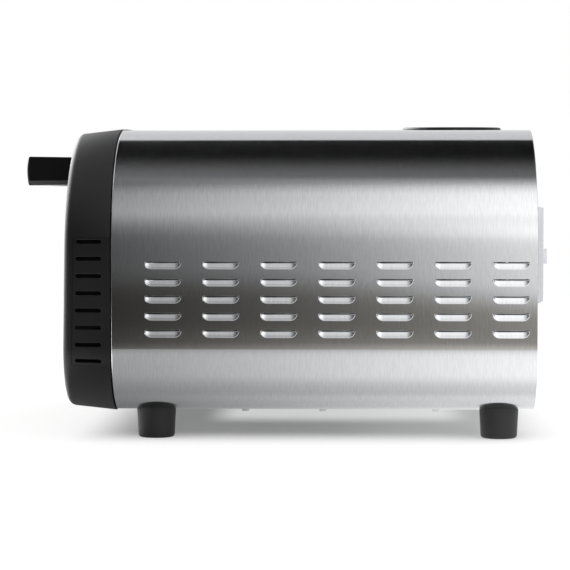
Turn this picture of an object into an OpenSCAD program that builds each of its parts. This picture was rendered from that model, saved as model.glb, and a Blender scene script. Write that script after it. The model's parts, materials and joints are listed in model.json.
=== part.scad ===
// Countertop electric pizza oven with a louvred steel wrap and a drop-down glass door.
// Millimetres. The front faces -Y, up is +Z, the origin is the middle of the footprint on the table.

/* [Body] */
// Width across the steel wrap
body_w = 450; // [430:1:480]
// Height of the wrap from its underside to the crown
body_h = 249; // [248:1:280]
// Depth of the wrap from the bezel seam to its back edge
wrap_d = 365; // [362:1:400]
// Radius of the shoulder between side and crown
shoulder_r = 105; // [95:1:112]
// Angle that the shoulder turns before the flatter crown takes over
shoulder_turn = 88; // [84:0.5:89]
// Radius of the lower edge of the wrap
sill_r = 57; // [52:1:60]
// Thickness of the wrap's sheet
sheet_t = 1; // [0.8:0.1:1.2]
// Width of the flat lip that the wrap turns in under the base
lip_w = 22; // [20:1:30]
// Thickness of the inner sheet pieces
plate_t = 1.2; // [1:0.1:1.5]
// Depth of the chassis plate's flange
flange_d = 10; // [6:1:14]
// Depth of the rear panel's flange
rear_flange_d = 3; // [2.6:0.1:3.2]
// How far the rear panel lies inside the wrap's back edge
panel_in = 2; // [1:0.5:4]

/* [Louvres] */
// Louvre columns in each side
louvre_cols = 7; // [3:1:7]
// Louvre rows in each side
louvre_rows = 5; // [2:1:5]
// Length of a louvre along its cut edge
louvre_l = 31.6; // [26:0.2:36]
// Height and depth of a louvre's scoop
louvre_h = 5.8; // [4:0.2:7]
// Angle of the open mouth under a louvre's cut edge
louvre_mouth = 13; // [8:1:20]
// Spacing of the louvre columns
louvre_pitch_y = 49.7; // [44:0.1:50]
// Spacing of the louvre rows
louvre_pitch_z = 14.7; // [12:0.1:16]
// From the seam to the middle of the first louvre column
louvre_first = 44.1; // [36:0.1:46]
// Height of the top row's cut edge above the wrap's underside
louvre_up = 131.4; // [122:0.2:136]

/* [Bezel] */
// Depth of the bezel from the seam to its front face
bezel_d = 43.2; // [40:0.2:46]
// How far the bezel stands out from the wrap at the seam
bezel_proud = 1; // [0.5:0.1:2]
// How much the bezel draws in from the seam to the front
bezel_draft = 4.5; // [1:0.5:6]
// Radius of the bezel's front edge
bezel_edge_r = 7; // [5:0.5:10]
// Width of the bezel's face from the wrap line to the door opening
bezel_face = 16; // [15:0.5:18]
// Wall of the bezel moulding
bezel_wall = 3; // [2.5:0.1:3.4]
// Backward lean of the bezel's front face
bezel_lean = 0.9; // [0:0.1:1.2]
// Open seam between bezel and wrap
seam_gap = 1.2; // [0.6:0.1:2]
// Cooling slots in each side of the bezel
slot_count = 8; // [4:1:8]
// Length of a cooling slot
slot_l = 22; // [16:1:24]
// Height of a cooling slot
slot_h = 3.2; // [2:0.1:4]
// Spacing of the cooling slots
slot_pitch = 14.83; // [12:0.01:15]
// Height of the lowest slot above the wrap's underside
slot_up = 45; // [40:0.2:48]
// From the seam to the back end of a slot
slot_back = 8; // [6:0.5:10]
// Depth of the shallow panel that the slots lie in
slot_panel_t = 0.7; // [0.4:0.1:1]
// Margin of that panel round the slots
slot_margin = 4; // [3:0.5:5]

/* [Door] */
// Height of the control strip from the wrap's underside to the door
control_h = 69.5; // [68:0.5:74]
// Running gap round the door
door_gap = 2.4; // [2.2:0.1:3]
// How far the door lies behind the bezel's face
door_setback = 3.5; // [3:0.1:4]
// Thickness of the outer door frame
door_t = 14; // [13:0.5:15]
// Width of the window
window_w = 290; // [260:1:310]
// Height of the window
window_h = 92; // [80:1:94]
// Corner radius of the window
window_r = 16; // [10:1:20]
// Height of the window's lower edge above the door's lower edge
window_up = 22; // [20:1:24]
// Thickness of the outer glass
glass_t = 4; // [3:0.5:5]
// Thickness of the inner glass
inner_glass_t = 3; // [3:0.5:4]
// How far each glass reaches under its frame
glass_lap = 8; // [6:0.5:9]
// Play round each glass
glass_gap = 0.4; // [0.2:0.1:0.6]
// Gap between the shut door's inner pan and the chassis plate
seat_gap = 0.8; // [0.5:0.1:1]
// How far the inner pan laps past the chamber mouth
pan_lap = 5; // [4:0.5:8]
// Diameter of the hinge pins
pin_d = 6; // [5:0.5:7]
// Radial clearance of pins and shafts
pin_gap = 0.05; // [0.03:0.01:0.08]
// Height of the hinge line above the door's lower edge
hinge_up = 6; // [5.5:0.5:7]
// Depth of the hinge line behind the door's face
hinge_in = 5.5; // [5.3:0.1:6]
// How deep a hinge pin sits in the door frame
pin_grip = 16; // [12:1:20]

/* [Handle] */
// Reach of the handle in front of the bezel
handle_reach = 46.3; // [42:0.1:52]
// Length of the handle from end to end
handle_l = 228; // [200:1:232]
// Height of the handle's bar
handle_h = 26.2; // [22:0.2:27]
// Depth of the handle's bar
handle_t = 15; // [12:0.5:18]
// Width of each handle arm
handle_arm = 26; // [20:1:30]
// Height of the handle's middle above the door's lower edge
handle_up = 141; // [139:0.5:142]
// Bulge radius of the handle's front
handle_bow = 53; // [40:1:80]
// Radius of the handle's long edges
handle_edge_r = 3; // [2:0.5:4]
// Radius of the handle's outer corners
handle_corner_r = 12; // [8:1:14]
// Narrowing of the arms toward the door on each face
handle_taper = 0.7; // [0.3:0.1:1.2]

/* [Controls] */
// Thickness of the control fascia
fascia_t = 4; // [3:0.5:5]
// How far the fascia lies behind the bezel's face
fascia_in = 3; // [2.5:0.5:3.5]
// Play between fascia and bezel
fascia_gap = 0.3; // [0.2:0.1:0.5]
// Height of the knobs' middle above the wrap's underside
knob_up = 41; // [40:0.5:42]
// Spacing of the three knobs
knob_pitch = 90; // [70:1:110]
// Diameter of a knob
knob_d = 36; // [32:1:40]
// Depth of a knob
knob_t = 16; // [14:0.5:17]
// Air gap between knob and fascia
knob_gap = 0.7; // [0.5:0.1:1]
// Diameter of the control shafts
shaft_d = 6; // [5:0.5:7]
// Diameter of the mounting bush of each control
bush_d = 9; // [9:0.5:11]
// Diameter of the thermostat, switch and timer bodies
control_d = 40; // [34:1:42]
// Depth of those bodies
control_t = 24; // [20:1:26]
// Diameter of an indicator lens
lens_d = 8; // [6:0.5:10]

/* [Chamber] */
// Inside width of the oven chamber
chamber_w = 340; // [330:1:350]
// Inside depth of the oven chamber
chamber_d = 325; // [320:1:328]
// Height of the chamber floor above the wrap's underside
chamber_up = 59.5; // [58:0.5:62]
// Inside height of the chamber
chamber_h = 144; // [142:1:148]
// Thickness of the chamber sheets
chamber_t = 1; // [0.8:0.1:1.2]
// Height of the mouth's sill above the door's lower edge
mouth_up = 12; // [11:0.5:14]
// How far the mouth's top lies under the chamber ceiling
mouth_drop = 3; // [2:0.5:5]
// Thickness of the insulation pads
pad_t = 12; // [8:1:14]
// Diameter of the element tubes
element_d = 6.5; // [6:0.1:8]
// Spacing of the element runs
element_pitch = 70; // [60:1:72]
// Distance of the upper and lower elements from ceiling and floor
element_off = 12; // [10:0.5:14]
// Diameter of the pizza stone
stone_d = 308; // [290:1:312]
// Thickness of the pizza stone
stone_t = 12; // [10:0.5:15]
// Height of the stone's underside above the chamber floor
stone_up = 22; // [20:0.5:24]
// Width of the ring that carries the stone
ring_w = 14; // [10:1:18]
// Thickness of that ring
ring_t = 2; // [1.5:0.5:3]

/* [Vent and back] */
// Length of the top vent from front to back
vent_d = 96; // [90:1:100]
// Width of the top vent
vent_w = 160; // [130:1:180]
// Height of the top vent above the crown
vent_h = 2.8; // [2:0.1:6]
// From the seam to the middle of the vent
vent_back = 299; // [296:1:302]
// How far the vent laps past its hole in the wrap
vent_lap = 4; // [3:0.5:6]
// Slots across the top vent
vent_slots = 9; // [5:2:9]
// Length of a vent slot
vent_slot_l = 60; // [50:1:62]
// Width of a vent slot
vent_slot_w = 6.6; // [5:0.2:8]
// Spacing of the vent slots
vent_pitch = 13.2; // [11:0.1:13.4]
// Width of the vent duct
duct_w = 116; // [100:1:120]
// Depth of the vent duct
duct_d = 42; // [34:1:44]
// Depth of the rear cover
cover_d = 18.5; // [15:0.5:20]
// Width of the rear cover
cover_w = 160; // [140:1:200]
// Height of the rear cover
cover_h = 99.5; // [90:0.5:110]
// Height of the rear cover's lower edge above the wrap's underside
cover_up = 82; // [80:0.5:96]
// Width of the rear cover's screw flanges
cover_flange = 12; // [10:1:16]
// How far the cord gland stands out of the rear cover
gland_out = 5; // [3:0.5:6]
// Diameter of the cord gland
gland_d = 14; // [12:0.5:16]
// Cord hole through the gland
gland_bore = 7.5; // [6:0.5:9]

/* [Feet] */
// Height of the wrap's underside above the table
foot_h = 25.4; // [20:0.1:30]
// Diameter of a foot at the top
foot_d = 33; // [28:0.5:36]
// Diameter of a foot at the bottom
foot_end_d = 30.3; // [24:0.1:34]
// Distance of the feet from the wrap's side
foot_in = 62; // [61:0.5:64]
// Distance of the front feet behind the seam
foot_front = 33; // [28:1:40]
// Distance of the rear feet ahead of the wrap's back edge
foot_back = 29; // [26:1:36]
// Radius of a foot's lower edge
foot_edge_r = 2.5; // [1:0.5:3]

/* [Hidden] */
$fn = 64;
crown_fn = 720;
// Angle by which a louvre's cut runs past its sheet
louvre_past = 3;
// Thread and head of the screws, their holes and the play of sheet pieces in each other
screw_d = 4;
head_d = 8;
head_t = 2.4;
head_taper = 0.7;
pin_wall = 2.2;
screw_gap = 0.3;
fit = 0.3;
over = 1;
// Places of the base screws along the wrap, and the share of the half base that its slots take
base_screw_at = [0.307, 0.495, 0.768];
base_open = 0.7;
// Places of the rear cover's screws along its height, and the opening behind it
cover_screw_at = [0.12, 0.88];
cover_open = [0.7, 0.6];
// Knob proportions: body at the skirt, body at the front, grip bar's cut and its depth
knob_root = 0.86;
knob_tip = 0.8;
grip_cut = 0.66;
grip_d = 0.6;
// Turns of the stone ring's four posts, and where the probe's two stays sit along it
post_at = [-20, 20, 160, 200];
stay_at = 0.8;

half_w = body_w / 2;
base_z = foot_h;
crown_z = base_z + body_h;
shoulder_x = half_w - shoulder_r;
crown_r = shoulder_r + shoulder_x / cos(shoulder_turn);
crown_c = crown_z - crown_r;
shoulder_z = crown_c + (crown_r - shoulder_r) * sin(shoulder_turn);
sill_x = half_w - sill_r;
sill_z = base_z + sill_r;

overall_d = handle_reach + bezel_d + wrap_d + cover_d + gland_out - panel_in;
seam_y = handle_reach + bezel_d - overall_d / 2;
front_y = seam_y - bezel_d;
back_y = seam_y + wrap_d;
panel_y = back_y - panel_in;
cover_y = panel_y + cover_d;

draft_a = atan(bezel_draft / (bezel_d - seam_gap));
door_z = base_z + control_h;
door_y = front_y + door_setback;
pan_y = door_y + door_t;
pan_back_y = seam_y - seat_gap;
hinge_y = door_y + hinge_in;
hinge_z = door_z + hinge_up;
door_side_x = half_w - bezel_face - door_gap;
reveal_x = half_w - bezel_face;
bracket_x = reveal_x + bezel_wall + fit;

chamber_z = base_z + chamber_up;
chamber_top = chamber_z + chamber_h;
chamber_y = seam_y + plate_t;
chamber_back = chamber_y + chamber_d;
mouth_w = chamber_w - 2 * mouth_drop;
mouth_z = door_z + mouth_up;
mouth_top = chamber_top - mouth_drop;
middle_y = chamber_y + chamber_d / 2;
ring_z = chamber_z + stone_up - ring_t;

window_z = door_z + window_up;
handle_z = door_z + handle_up;
handle_y = front_y - handle_reach;
arm_x = (handle_l - handle_arm) / 2;
fascia_y = front_y + fascia_in;
fascia_back = fascia_y + fascia_t;
fascia_top = door_z - door_gap;
knob_z = base_z + knob_up;
vent_y = seam_y + vent_back;
cover_z = base_z + cover_up;
foot_x = half_w - foot_in;
foot_front_y = seam_y + foot_front;
foot_back_y = back_y - foot_back;
pan_floor_z = base_z + sheet_t;
pan_floor_top = pan_floor_z + plate_t;

// Stands a section drawing up: x across, y up, z toward the front
module upright() {
    rotate([90, 0, 0]) children();
}

// Points of a quarter or less of a circle
function arc(x, y, r, a0, a1, steps) =
    [for (i = [0:steps]) let (a = a0 + (a1 - a0) * i / steps) [x + r * cos(a), y + r * sin(a)]];

// Right half of the wrap's outline from the underside up to the crown, grown outward
function half_outline(grow) = concat(
    arc(sill_x, sill_z, sill_r + grow, -90, 0, 10),
    arc(shoulder_x, shoulder_z, shoulder_r + grow, 0, shoulder_turn, 14),
    arc(0, crown_c, crown_r + grow, shoulder_turn, 90, 4)
);

// The whole outline, once round, with the crown's middle point taken once
function outline(grow) = let (half = half_outline(grow), n = len(half))
    concat(half, [for (i = [n - 2:-1:0]) [-half[i].x, half[i].y]]);

// The whole section of the body, drawn in by an inset
module body_face(inset) {
    reach = shoulder_r + pad_t;
    for (side = [-1, 1]) {
        translate([side * shoulder_x, shoulder_z]) circle(r = shoulder_r - inset);
        translate([side * sill_x, sill_z]) circle(r = sill_r - inset);
    }
    translate([inset - half_w, sill_z]) square([2 * (half_w - inset), shoulder_z - sill_z]);
    translate([-sill_x, base_z + inset]) square([2 * sill_x, sill_r]);
    intersection() {
        translate([0, crown_c]) circle(r = crown_r - inset, $fn = crown_fn);
        polygon([
            [-shoulder_x, sill_z],
            [shoulder_x, sill_z],
            [shoulder_x, shoulder_z],
            [shoulder_x + reach * cos(shoulder_turn), shoulder_z + reach * sin(shoulder_turn)],
            [shoulder_x + reach * cos(shoulder_turn), crown_z + over],
            [-shoulder_x - reach * cos(shoulder_turn), crown_z + over],
            [-shoulder_x - reach * cos(shoulder_turn), shoulder_z + reach * sin(shoulder_turn)],
            [-shoulder_x, shoulder_z]
        ]);
    }
}

// A slab of the body's section between two depths
module body_slab(inset, y0, y1) {
    translate([0, y1, 0]) upright() linear_extrude(height = y1 - y0) body_face(inset);
}

// A rectangle with round corners, centred
module round_rect(w, h, r) {
    square([w - 2 * r, h], center = true);
    square([w, h - 2 * r], center = true);
    for (sx = [-1, 1], sy = [-1, 1]) {
        translate([sx * (w / 2 - r), sy * (h / 2 - r)]) circle(r = r);
    }
}

// A slot with round ends, centred, along x
module slot(l, h) {
    square([l - h, h], center = true);
    for (side = [-1, 1]) {
        translate([side * (l - h) / 2, 0]) circle(d = h);
    }
}

// A plate standing across the oven, its outline drawn in x and z round a middle
module front_plate(y0, y1, z) {
    translate([0, y1, z]) upright() linear_extrude(height = y1 - y0) children();
}

// A rod along y between two depths
module rod_y(x, y0, y1, z, d) {
    translate([x, y1, z]) upright() cylinder(h = y1 - y0, d = d);
}

// A rod along x between two places
module rod_x(x0, x1, y, z, d) {
    translate([x0, y, z]) rotate([0, 90, 0]) cylinder(h = x1 - x0, d = d);
}

// A pan-head screw pointing up, its head's upper face at the origin
module screw(length) {
    translate([0, 0, -head_t])
        cylinder(h = head_t, d1 = head_d * head_taper, d2 = head_d);
    cylinder(h = length, d = screw_d);
}

// Half of a slot's outline, to be turned about its long axis
module half_slot(l, r) {
    translate([0, r - l / 2]) square([r, l - 2 * r]);
    for (side = [-1, 1]) {
        intersection() {
            translate([0, side * (l / 2 - r)]) circle(r = r);
            translate([0, -l]) square([r, 2 * l]);
        }
    }
}

// A pressed-in louvre: a turned half slot that hangs from its cut edge, between two angles from level
module louvre(grow, from, to) {
    rotate([0, 180, 0])
        rotate([90, 0, 0])
            rotate([0, 0, from])
                rotate_extrude(angle = to - from) half_slot(louvre_l + 2 * grow, louvre_h + grow);
}

// All louvres of both sides
module louvres(grow, from, to) {
    for (side = [0, 1], col = [0:louvre_cols - 1], row = [0:louvre_rows - 1]) {
        mirror([side, 0, 0])
            translate([
                half_w,
                seam_y + louvre_first + col * louvre_pitch_y,
                base_z + louvre_up - row * louvre_pitch_z
            ])
                louvre(grow, from, to);
    }
}

// Places its children at the four feet
module at_feet() {
    for (x = [-foot_x, foot_x], y = [foot_front_y, foot_back_y]) {
        translate([x, y, 0]) children();
    }
}

// Places its children at the base screws
module at_base_screws() {
    for (x = [-foot_x, foot_x], along = base_screw_at) {
        translate([x, seam_y + along * wrap_d, 0]) children();
    }
}

// Places its children at the three controls
module at_control(place) {
    translate([place * knob_pitch, 0, knob_z]) children();
}

module outer_wrap() {
    color("silver")
        difference() {
            union() {
                translate([0, back_y, 0])
                    upright()
                        linear_extrude(height = wrap_d)
                            difference() {
                                body_face(0);
                                body_face(sheet_t);
                                square([2 * (sill_x - lip_w), 2 * sill_z], center = true);
                            }
                louvres(sheet_t, louvre_mouth, 90);
            }
            louvres(0, -louvre_past, 90 + louvre_past);
            translate([0, vent_y, shoulder_z])
                linear_extrude(height = body_h) vent_plan(-vent_lap);
            at_feet() cylinder(h = sill_z, d = screw_d + 2 * screw_gap);
            at_base_screws() cylinder(h = sill_z, d = screw_d + 2 * screw_gap);
        }
}

// The vent's plan, grown or drawn in
module vent_plan(grow) {
    w = vent_w + 2 * grow;
    d = vent_d + 2 * grow;
    slot(w, d);
}

module base_pan() {
    pan_d = wrap_d - panel_in - flange_d - rear_flange_d - 2 * fit;
    color("darkgray")
        difference() {
            translate([-sill_x, seam_y + flange_d + fit, pan_floor_z])
                cube([2 * sill_x, pan_d, plate_t]);
            for (row = [-3:3], bank = [-1, 1]) {
                translate([bank * sill_x / 2, middle_y + row * 4 * screw_d, pan_floor_z - over])
                    linear_extrude(height = plate_t + 2 * over) slot(sill_x * base_open, screw_d);
            }
            at_feet() cylinder(h = sill_z, d = screw_d + 2 * screw_gap);
            at_base_screws() cylinder(h = sill_z, d = screw_d + 2 * screw_gap);
        }
}

// A section plate with a rim that lies inside the wrap; the rim stands between two depths
module rimmed_plate(y0, y1, rim0, rim1) {
    inset = sheet_t + fit;
    body_slab(inset, y0, y1);
    translate([0, rim1, 0])
        upright()
            linear_extrude(height = rim1 - rim0)
                difference() {
                    body_face(inset);
                    body_face(inset + plate_t);
                }
}

module rear_panel() {
    vent_x = cover_w / 2 + cover_flange + (half_w - shoulder_r / 2 - cover_w / 2 - cover_flange) / 2;
    color("gainsboro")
        difference() {
            rimmed_plate(panel_y - plate_t, panel_y, panel_y - rear_flange_d, panel_y - plate_t);
            for (side = [-1, 1], row = [0:5]) {
                front_plate(panel_y - plate_t - over, panel_y + over, cover_z + (row + 0.5) * cover_h / 6)
                    translate([side * vent_x, 0]) slot(half_w / 4, 2 * screw_d);
            }
            front_plate(panel_y - plate_t - over, panel_y + over, cover_z + cover_h / 2)
                round_rect(cover_w * cover_open.x, cover_h * cover_open.y, screw_d);
            at_cover_screws() rod_y(0, -plate_t - over, over, 0, screw_d + 2 * screw_gap);
        }
}

// Places its children at the four screws of the rear cover
module at_cover_screws() {
    for (side = [-1, 1], up = cover_screw_at) {
        translate([side * (cover_w + cover_flange) / 2, panel_y, cover_z + up * cover_h]) children();
    }
}

// Side profile of the rear cover, drawn in by a wall; x is depth, y is height
module cover_profile(wall) {
    bevel = cover_d / 2;
    polygon([
        [wall > 0 ? -over : 0, wall],
        [cover_d - wall, bevel + wall / 2],
        [cover_d - wall, cover_h - bevel / 2 - wall / 2],
        [wall > 0 ? -over : 0, cover_h - wall]
    ]);
}

module rear_cover() {
    color("lightgray")
        difference() {
            translate([0, panel_y, cover_z]) {
                rotate([90, 0, 90])
                    linear_extrude(height = cover_w, center = true) cover_profile(0);
                for (side = [-1, 1]) {
                    translate([side * (cover_w + cover_flange) / 2, plate_t / 2, cover_h / 2])
                        cube([cover_flange, plate_t, cover_h], center = true);
                }
            }
            translate([0, panel_y, cover_z])
                rotate([90, 0, 90])
                    linear_extrude(height = cover_w - 2 * plate_t, center = true) cover_profile(plate_t);
            for (col = [-3:3]) {
                translate([col * cover_w / 8, panel_y + cover_d / 2, cover_z + cover_h / 2])
                    linear_extrude(height = cover_h) slot(cover_w / 11, screw_d);
            }
            rod_y(cover_w / 3, panel_y, cover_y + over, cover_z + cover_h / 2, gland_d - 2 * plate_t);
            at_cover_screws() rod_y(0, -over, plate_t + over, 0, screw_d + 2 * screw_gap);
        }
}

module rear_cover_screws() {
    color("silver")
        at_cover_screws()
            translate([0, plate_t, 0]) rotate([90, 0, 0]) screw(3 * plate_t);
}

module cord_gland() {
    neck_d = gland_d - 2 * plate_t - 2 * screw_gap;
    color("dimgray")
        translate([cover_w / 3, 0, cover_z + cover_h / 2])
            difference() {
                union() {
                    rod_y(0, cover_y, cover_y + gland_out, 0, gland_d);
                    rod_y(0, cover_y - 3 * plate_t, cover_y, 0, neck_d);
                }
                rod_y(0, cover_y - 4 * plate_t, cover_y + gland_out + over, 0, gland_bore);
            }
}

module front_chassis() {
    color("darkgray")
        difference() {
            rimmed_plate(seam_y, seam_y + plate_t, seam_y + plate_t, seam_y + flange_d);
            front_plate(seam_y - over, seam_y + plate_t + over, (mouth_z + mouth_top) / 2)
                round_rect(mouth_w, mouth_top - mouth_z, screw_d);
        }
}

// Cross-section of the bezel as points: x outward from the wrap's face, y the depth behind the front
function bezel_section() = let (
    rear = bezel_d - seam_gap,
    slope = tan(draft_a),
    edge_x = bezel_proud - (rear - bezel_edge_r) * slope - bezel_edge_r / cos(draft_a),
    skirt_x = bezel_proud - bezel_wall,
    lip_x = bezel_wall - bezel_face
) concat(
    [[bezel_proud, rear]],
    [for (p = arc(edge_x, bezel_edge_r, bezel_edge_r, -draft_a, -90, 5)) p],
    [
        [-bezel_face, 0],
        [-bezel_face, bezel_d],
        [lip_x, bezel_d],
        [lip_x, bezel_wall],
        [skirt_x - bezel_draft - bezel_edge_r / 2, bezel_wall],
        [skirt_x - (rear - bezel_edge_r) * slope, bezel_edge_r],
        [skirt_x, rear]
    ]
);

// The bezel moulding: its cross-section carried once round the outline, the face leaning back to the top
module bezel_ring() {
    section = bezel_section();
    loops = [for (p = section) outline(p.x)];
    n = len(section);
    m = len(loops[0]);
    points = [
        for (j = [0:m - 1], i = [0:n - 1])
            [loops[i][j].x, bezel_point_y(section[i].y, loops[i][j].y), loops[i][j].y]
    ];
    faces = [
        for (j = [0:m - 1], i = [0:n - 1], half = [0, 1])
            let (j2 = (j + 1) % m, i2 = (i + 1) % n)
                half == 0 ? [j * n + i, j2 * n + i, j2 * n + i2] : [j * n + i, j2 * n + i2, j * n + i2]
    ];
    polyhedron(points = points, faces = faces);
}

// Depth of a bezel point: the front leans back with height and the seam stays upright
function bezel_point_y(back, z) =
    front_y + back + max(0, z - sill_z) * tan(bezel_lean) * max(0, 1 - back / bezel_d);

// One side's cooling slots and the shallow panel round them
module bezel_slots() {
    middle = seam_y - slot_back - slot_l / 2;
    run = (slot_count - 1) * slot_pitch;
    panel_l = slot_l + 2 * slot_margin;
    panel_h = run + slot_h + 2 * slot_margin;
    face_x = half_w + bezel_proud - (slot_back + slot_l / 2 - seam_gap) * tan(draft_a);
    translate([face_x, middle, base_z + slot_up]) rotate([0, 0, -draft_a]) {
        for (i = [0:slot_count - 1]) {
            translate([-bezel_wall - bezel_draft, 0, i * slot_pitch])
                rotate([90, 0, 90])
                    linear_extrude(height = 2 * bezel_wall + bezel_draft) slot(slot_l, slot_h);
        }
        translate([bezel_wall / 2 - slot_panel_t, 0, run / 2])
            cube([bezel_wall, panel_l, panel_h], center = true);
    }
}

module front_bezel() {
    color("#2b2c2e")
        difference() {
            bezel_ring();
            bezel_slots();
            mirror([1, 0, 0]) bezel_slots();
            rod_x(-half_w + bezel_face / 3, half_w - bezel_face / 3, hinge_y, hinge_z, pin_d + 4 * screw_gap);
        }
}

module control_fascia() {
    color("#1d1e20")
        difference() {
            intersection() {
                body_slab(bezel_face + fascia_gap, fascia_y, fascia_back);
                translate([-half_w, fascia_y - over, 0]) cube([body_w, fascia_t + 2 * over, fascia_top]);
            }
            for (place = [-1:1]) {
                at_control(place) rod_y(0, fascia_y - over, fascia_back + over, 0, bush_d + 2 * fit);
            }
            for (side = [-1, 1]) {
                at_control(side / 2) rod_y(0, fascia_y - over, fascia_back + over, 0, lens_d + 2 * screw_gap);
            }
        }
}

// A control knob with a grip bar across it and a bored hub
module knob() {
    knob_y = fascia_y - knob_gap;
    cap_y = knob_y - knob_t;
    skirt_t = knob_t / 4;
    difference() {
        union() {
            rod_y(0, knob_y - skirt_t, knob_y, 0, knob_d);
            translate([0, knob_y - skirt_t, 0])
                upright() cylinder(h = knob_t - skirt_t, d1 = knob_d * knob_root, d2 = knob_d * knob_tip);
        }
        for (side = [-1, 1]) {
            translate([side * knob_d / 2, cap_y + knob_t * grip_d / 2 - over, 0])
                cube([knob_d * grip_cut, knob_t * grip_d + 2 * over, knob_d], center = true);
        }
        rod_y(0, knob_y - knob_t + 2 * screw_gap + skirt_t, knob_y + over, 0, shaft_d + 2 * pin_gap);
    }
}

// The turning shaft of one control, from its body to inside the knob
module shaft() {
    rod_y(0, fascia_y - knob_gap - knob_t / 2, fascia_back + control_t / 2, 0, shaft_d);
}

// The body and bush of one control, bored for its shaft
module control_body(round) {
    bore_d = shaft_d + 2 * pin_gap;
    difference() {
        union() {
            rod_y(0, fascia_y, fascia_back, 0, bush_d);
            if (round) {
                rod_y(0, fascia_back, fascia_back + control_t, 0, control_d);
            } else {
                front_plate(fascia_back, fascia_back + control_t, 0)
                    round_rect(control_d, control_d, screw_d);
            }
            for (side = [-1, 1]) {
                translate([side * control_d / 4, fascia_back + control_t + screw_d / 2, 0])
                    cube([sheet_t, screw_d, 2 * screw_d], center = true);
            }
        }
        rod_y(0, fascia_y - over, fascia_back + control_t / 2 + fit, 0, bore_d);
    }
}

module heat_knob() {
    color("#202124") at_control(-1) knob();
}

module selector_knob() {
    color("#202124") at_control(0) knob();
}

module timer_knob() {
    color("#202124") at_control(1) knob();
}

module heat_shaft() {
    color("silver") at_control(-1) shaft();
}

module selector_shaft() {
    color("silver") at_control(0) shaft();
}

module timer_shaft() {
    color("silver") at_control(1) shaft();
}

module thermostat() {
    color("gainsboro") at_control(-1) control_body(true);
}

module selector_switch() {
    color("ivory") at_control(0) control_body(false);
}

module timer_unit() {
    color("gainsboro") at_control(1) control_body(false);
}

// A lens with a domed front and a collar behind the fascia
module lamp() {
    dome_y = fascia_y + lens_d / 2 - 2 * fit;
    intersection() {
        translate([0, dome_y, 0]) sphere(d = lens_d);
        rod_y(0, fascia_y - lens_d, fascia_y, 0, lens_d);
    }
    rod_y(0, fascia_y, fascia_back, 0, lens_d);
    rod_y(0, fascia_back, fascia_back + 2 * lens_d, 0, lens_d + 4 * screw_gap);
}

module power_lamp() {
    color("orangered") at_control(-1 / 2) lamp();
}

module heat_lamp() {
    color("orange") at_control(1 / 2) lamp();
}

module chamber_floor() {
    color("lightsteelblue")
        translate([-chamber_w / 2 - chamber_t, chamber_y, chamber_z - chamber_t])
            cube([chamber_w + 2 * chamber_t, chamber_d + chamber_t, chamber_t]);
}

module chamber_ceiling() {
    color("lightsteelblue")
        difference() {
            translate([-chamber_w / 2 - chamber_t, chamber_y, chamber_top])
                cube([chamber_w + 2 * chamber_t, chamber_d + chamber_t, chamber_t]);
            translate([0, vent_y, chamber_top - over])
                linear_extrude(height = chamber_t + 2 * over)
                    round_rect(duct_w - 4 * chamber_t, duct_d - 4 * chamber_t, screw_d);
        }
}

// One side wall of the chamber
module chamber_side() {
    translate([chamber_w / 2, chamber_y, chamber_z])
        cube([chamber_t, chamber_d + chamber_t, chamber_h]);
}

module chamber_left() {
    color("lightsteelblue") mirror([1, 0, 0]) chamber_side();
}

module chamber_right() {
    color("lightsteelblue") chamber_side();
}

module chamber_back_wall() {
    color("lightsteelblue")
        difference() {
            translate([-chamber_w / 2, chamber_back, chamber_z])
                cube([chamber_w, chamber_t, chamber_h]);
            at_bushings() rod_y(0, -over, chamber_t + over, 0, bush_bore_d());
        }
}

// Hole for an element's bushing in the back wall
function bush_bore_d() = element_d + 4 * chamber_t + 2 * screw_gap;

// Places its children where the element ends pass the back wall
module at_bushings() {
    for (side = [-1, 1], z = [chamber_z + element_off, chamber_top - element_off]) {
        translate([side * 1.5 * element_pitch, chamber_back, z]) children();
    }
}

module insulation_top() {
    color("khaki")
        difference() {
            translate([-chamber_w / 2, chamber_y, chamber_top + chamber_t])
                cube([chamber_w, chamber_d, pad_t]);
            translate([0, vent_y, chamber_top])
                linear_extrude(height = 2 * pad_t) round_rect(duct_w + 2 * fit, duct_d + 2 * fit, fit);
        }
}

// One side's insulation pad
module side_pad() {
    translate([chamber_w / 2 + chamber_t, chamber_y + flange_d, chamber_z])
        cube([pad_t, chamber_d - flange_d, chamber_h]);
}

module insulation_left() {
    color("khaki") mirror([1, 0, 0]) side_pad();
}

module insulation_right() {
    color("khaki") side_pad();
}

// A heating element: four runs joined by round bends, its ends through the back wall
module element(z) {
    bend_r = element_pitch / 2;
    near_y = chamber_y + bend_r + 4 * element_d;
    far_y = chamber_back - bend_r - 4 * element_d;
    end_y = chamber_back + 4 * element_d;
    translate([0, 0, z]) {
        for (side = [-1, 1]) {
            rod_y(side * 1.5 * element_pitch, near_y, end_y, 0, element_d);
            rod_y(side * bend_r, near_y, far_y, 0, element_d);
            translate([side * element_pitch, near_y, 0])
                rotate([0, 0, 180])
                    rotate_extrude(angle = 180) translate([bend_r, 0]) circle(d = element_d);
        }
        translate([0, far_y, 0])
            rotate_extrude(angle = 180) translate([bend_r, 0]) circle(d = element_d);
    }
}

module upper_element() {
    color("slategray") element(chamber_top - element_off);
}

module lower_element() {
    color("slategray") element(chamber_z + element_off);
}

// Sheet clips that hold an element's runs off the ceiling or the floor
module clips(z, seat_z) {
    low = min(z - element_d, seat_z);
    high = max(z + element_d, seat_z);
    difference() {
        for (run = [-1.5, -0.5, 0.5, 1.5]) {
            translate([run * element_pitch - element_d, middle_y - sheet_t, low])
                cube([2 * element_d, 2 * sheet_t, high - low]);
        }
        for (run = [-1.5, -0.5, 0.5, 1.5]) {
            rod_y(run * element_pitch, middle_y - 2 * sheet_t, middle_y + 2 * sheet_t, z, element_d + 2 * fit);
        }
    }
}

module upper_clips() {
    color("gray") clips(chamber_top - element_off, chamber_top);
}

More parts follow.
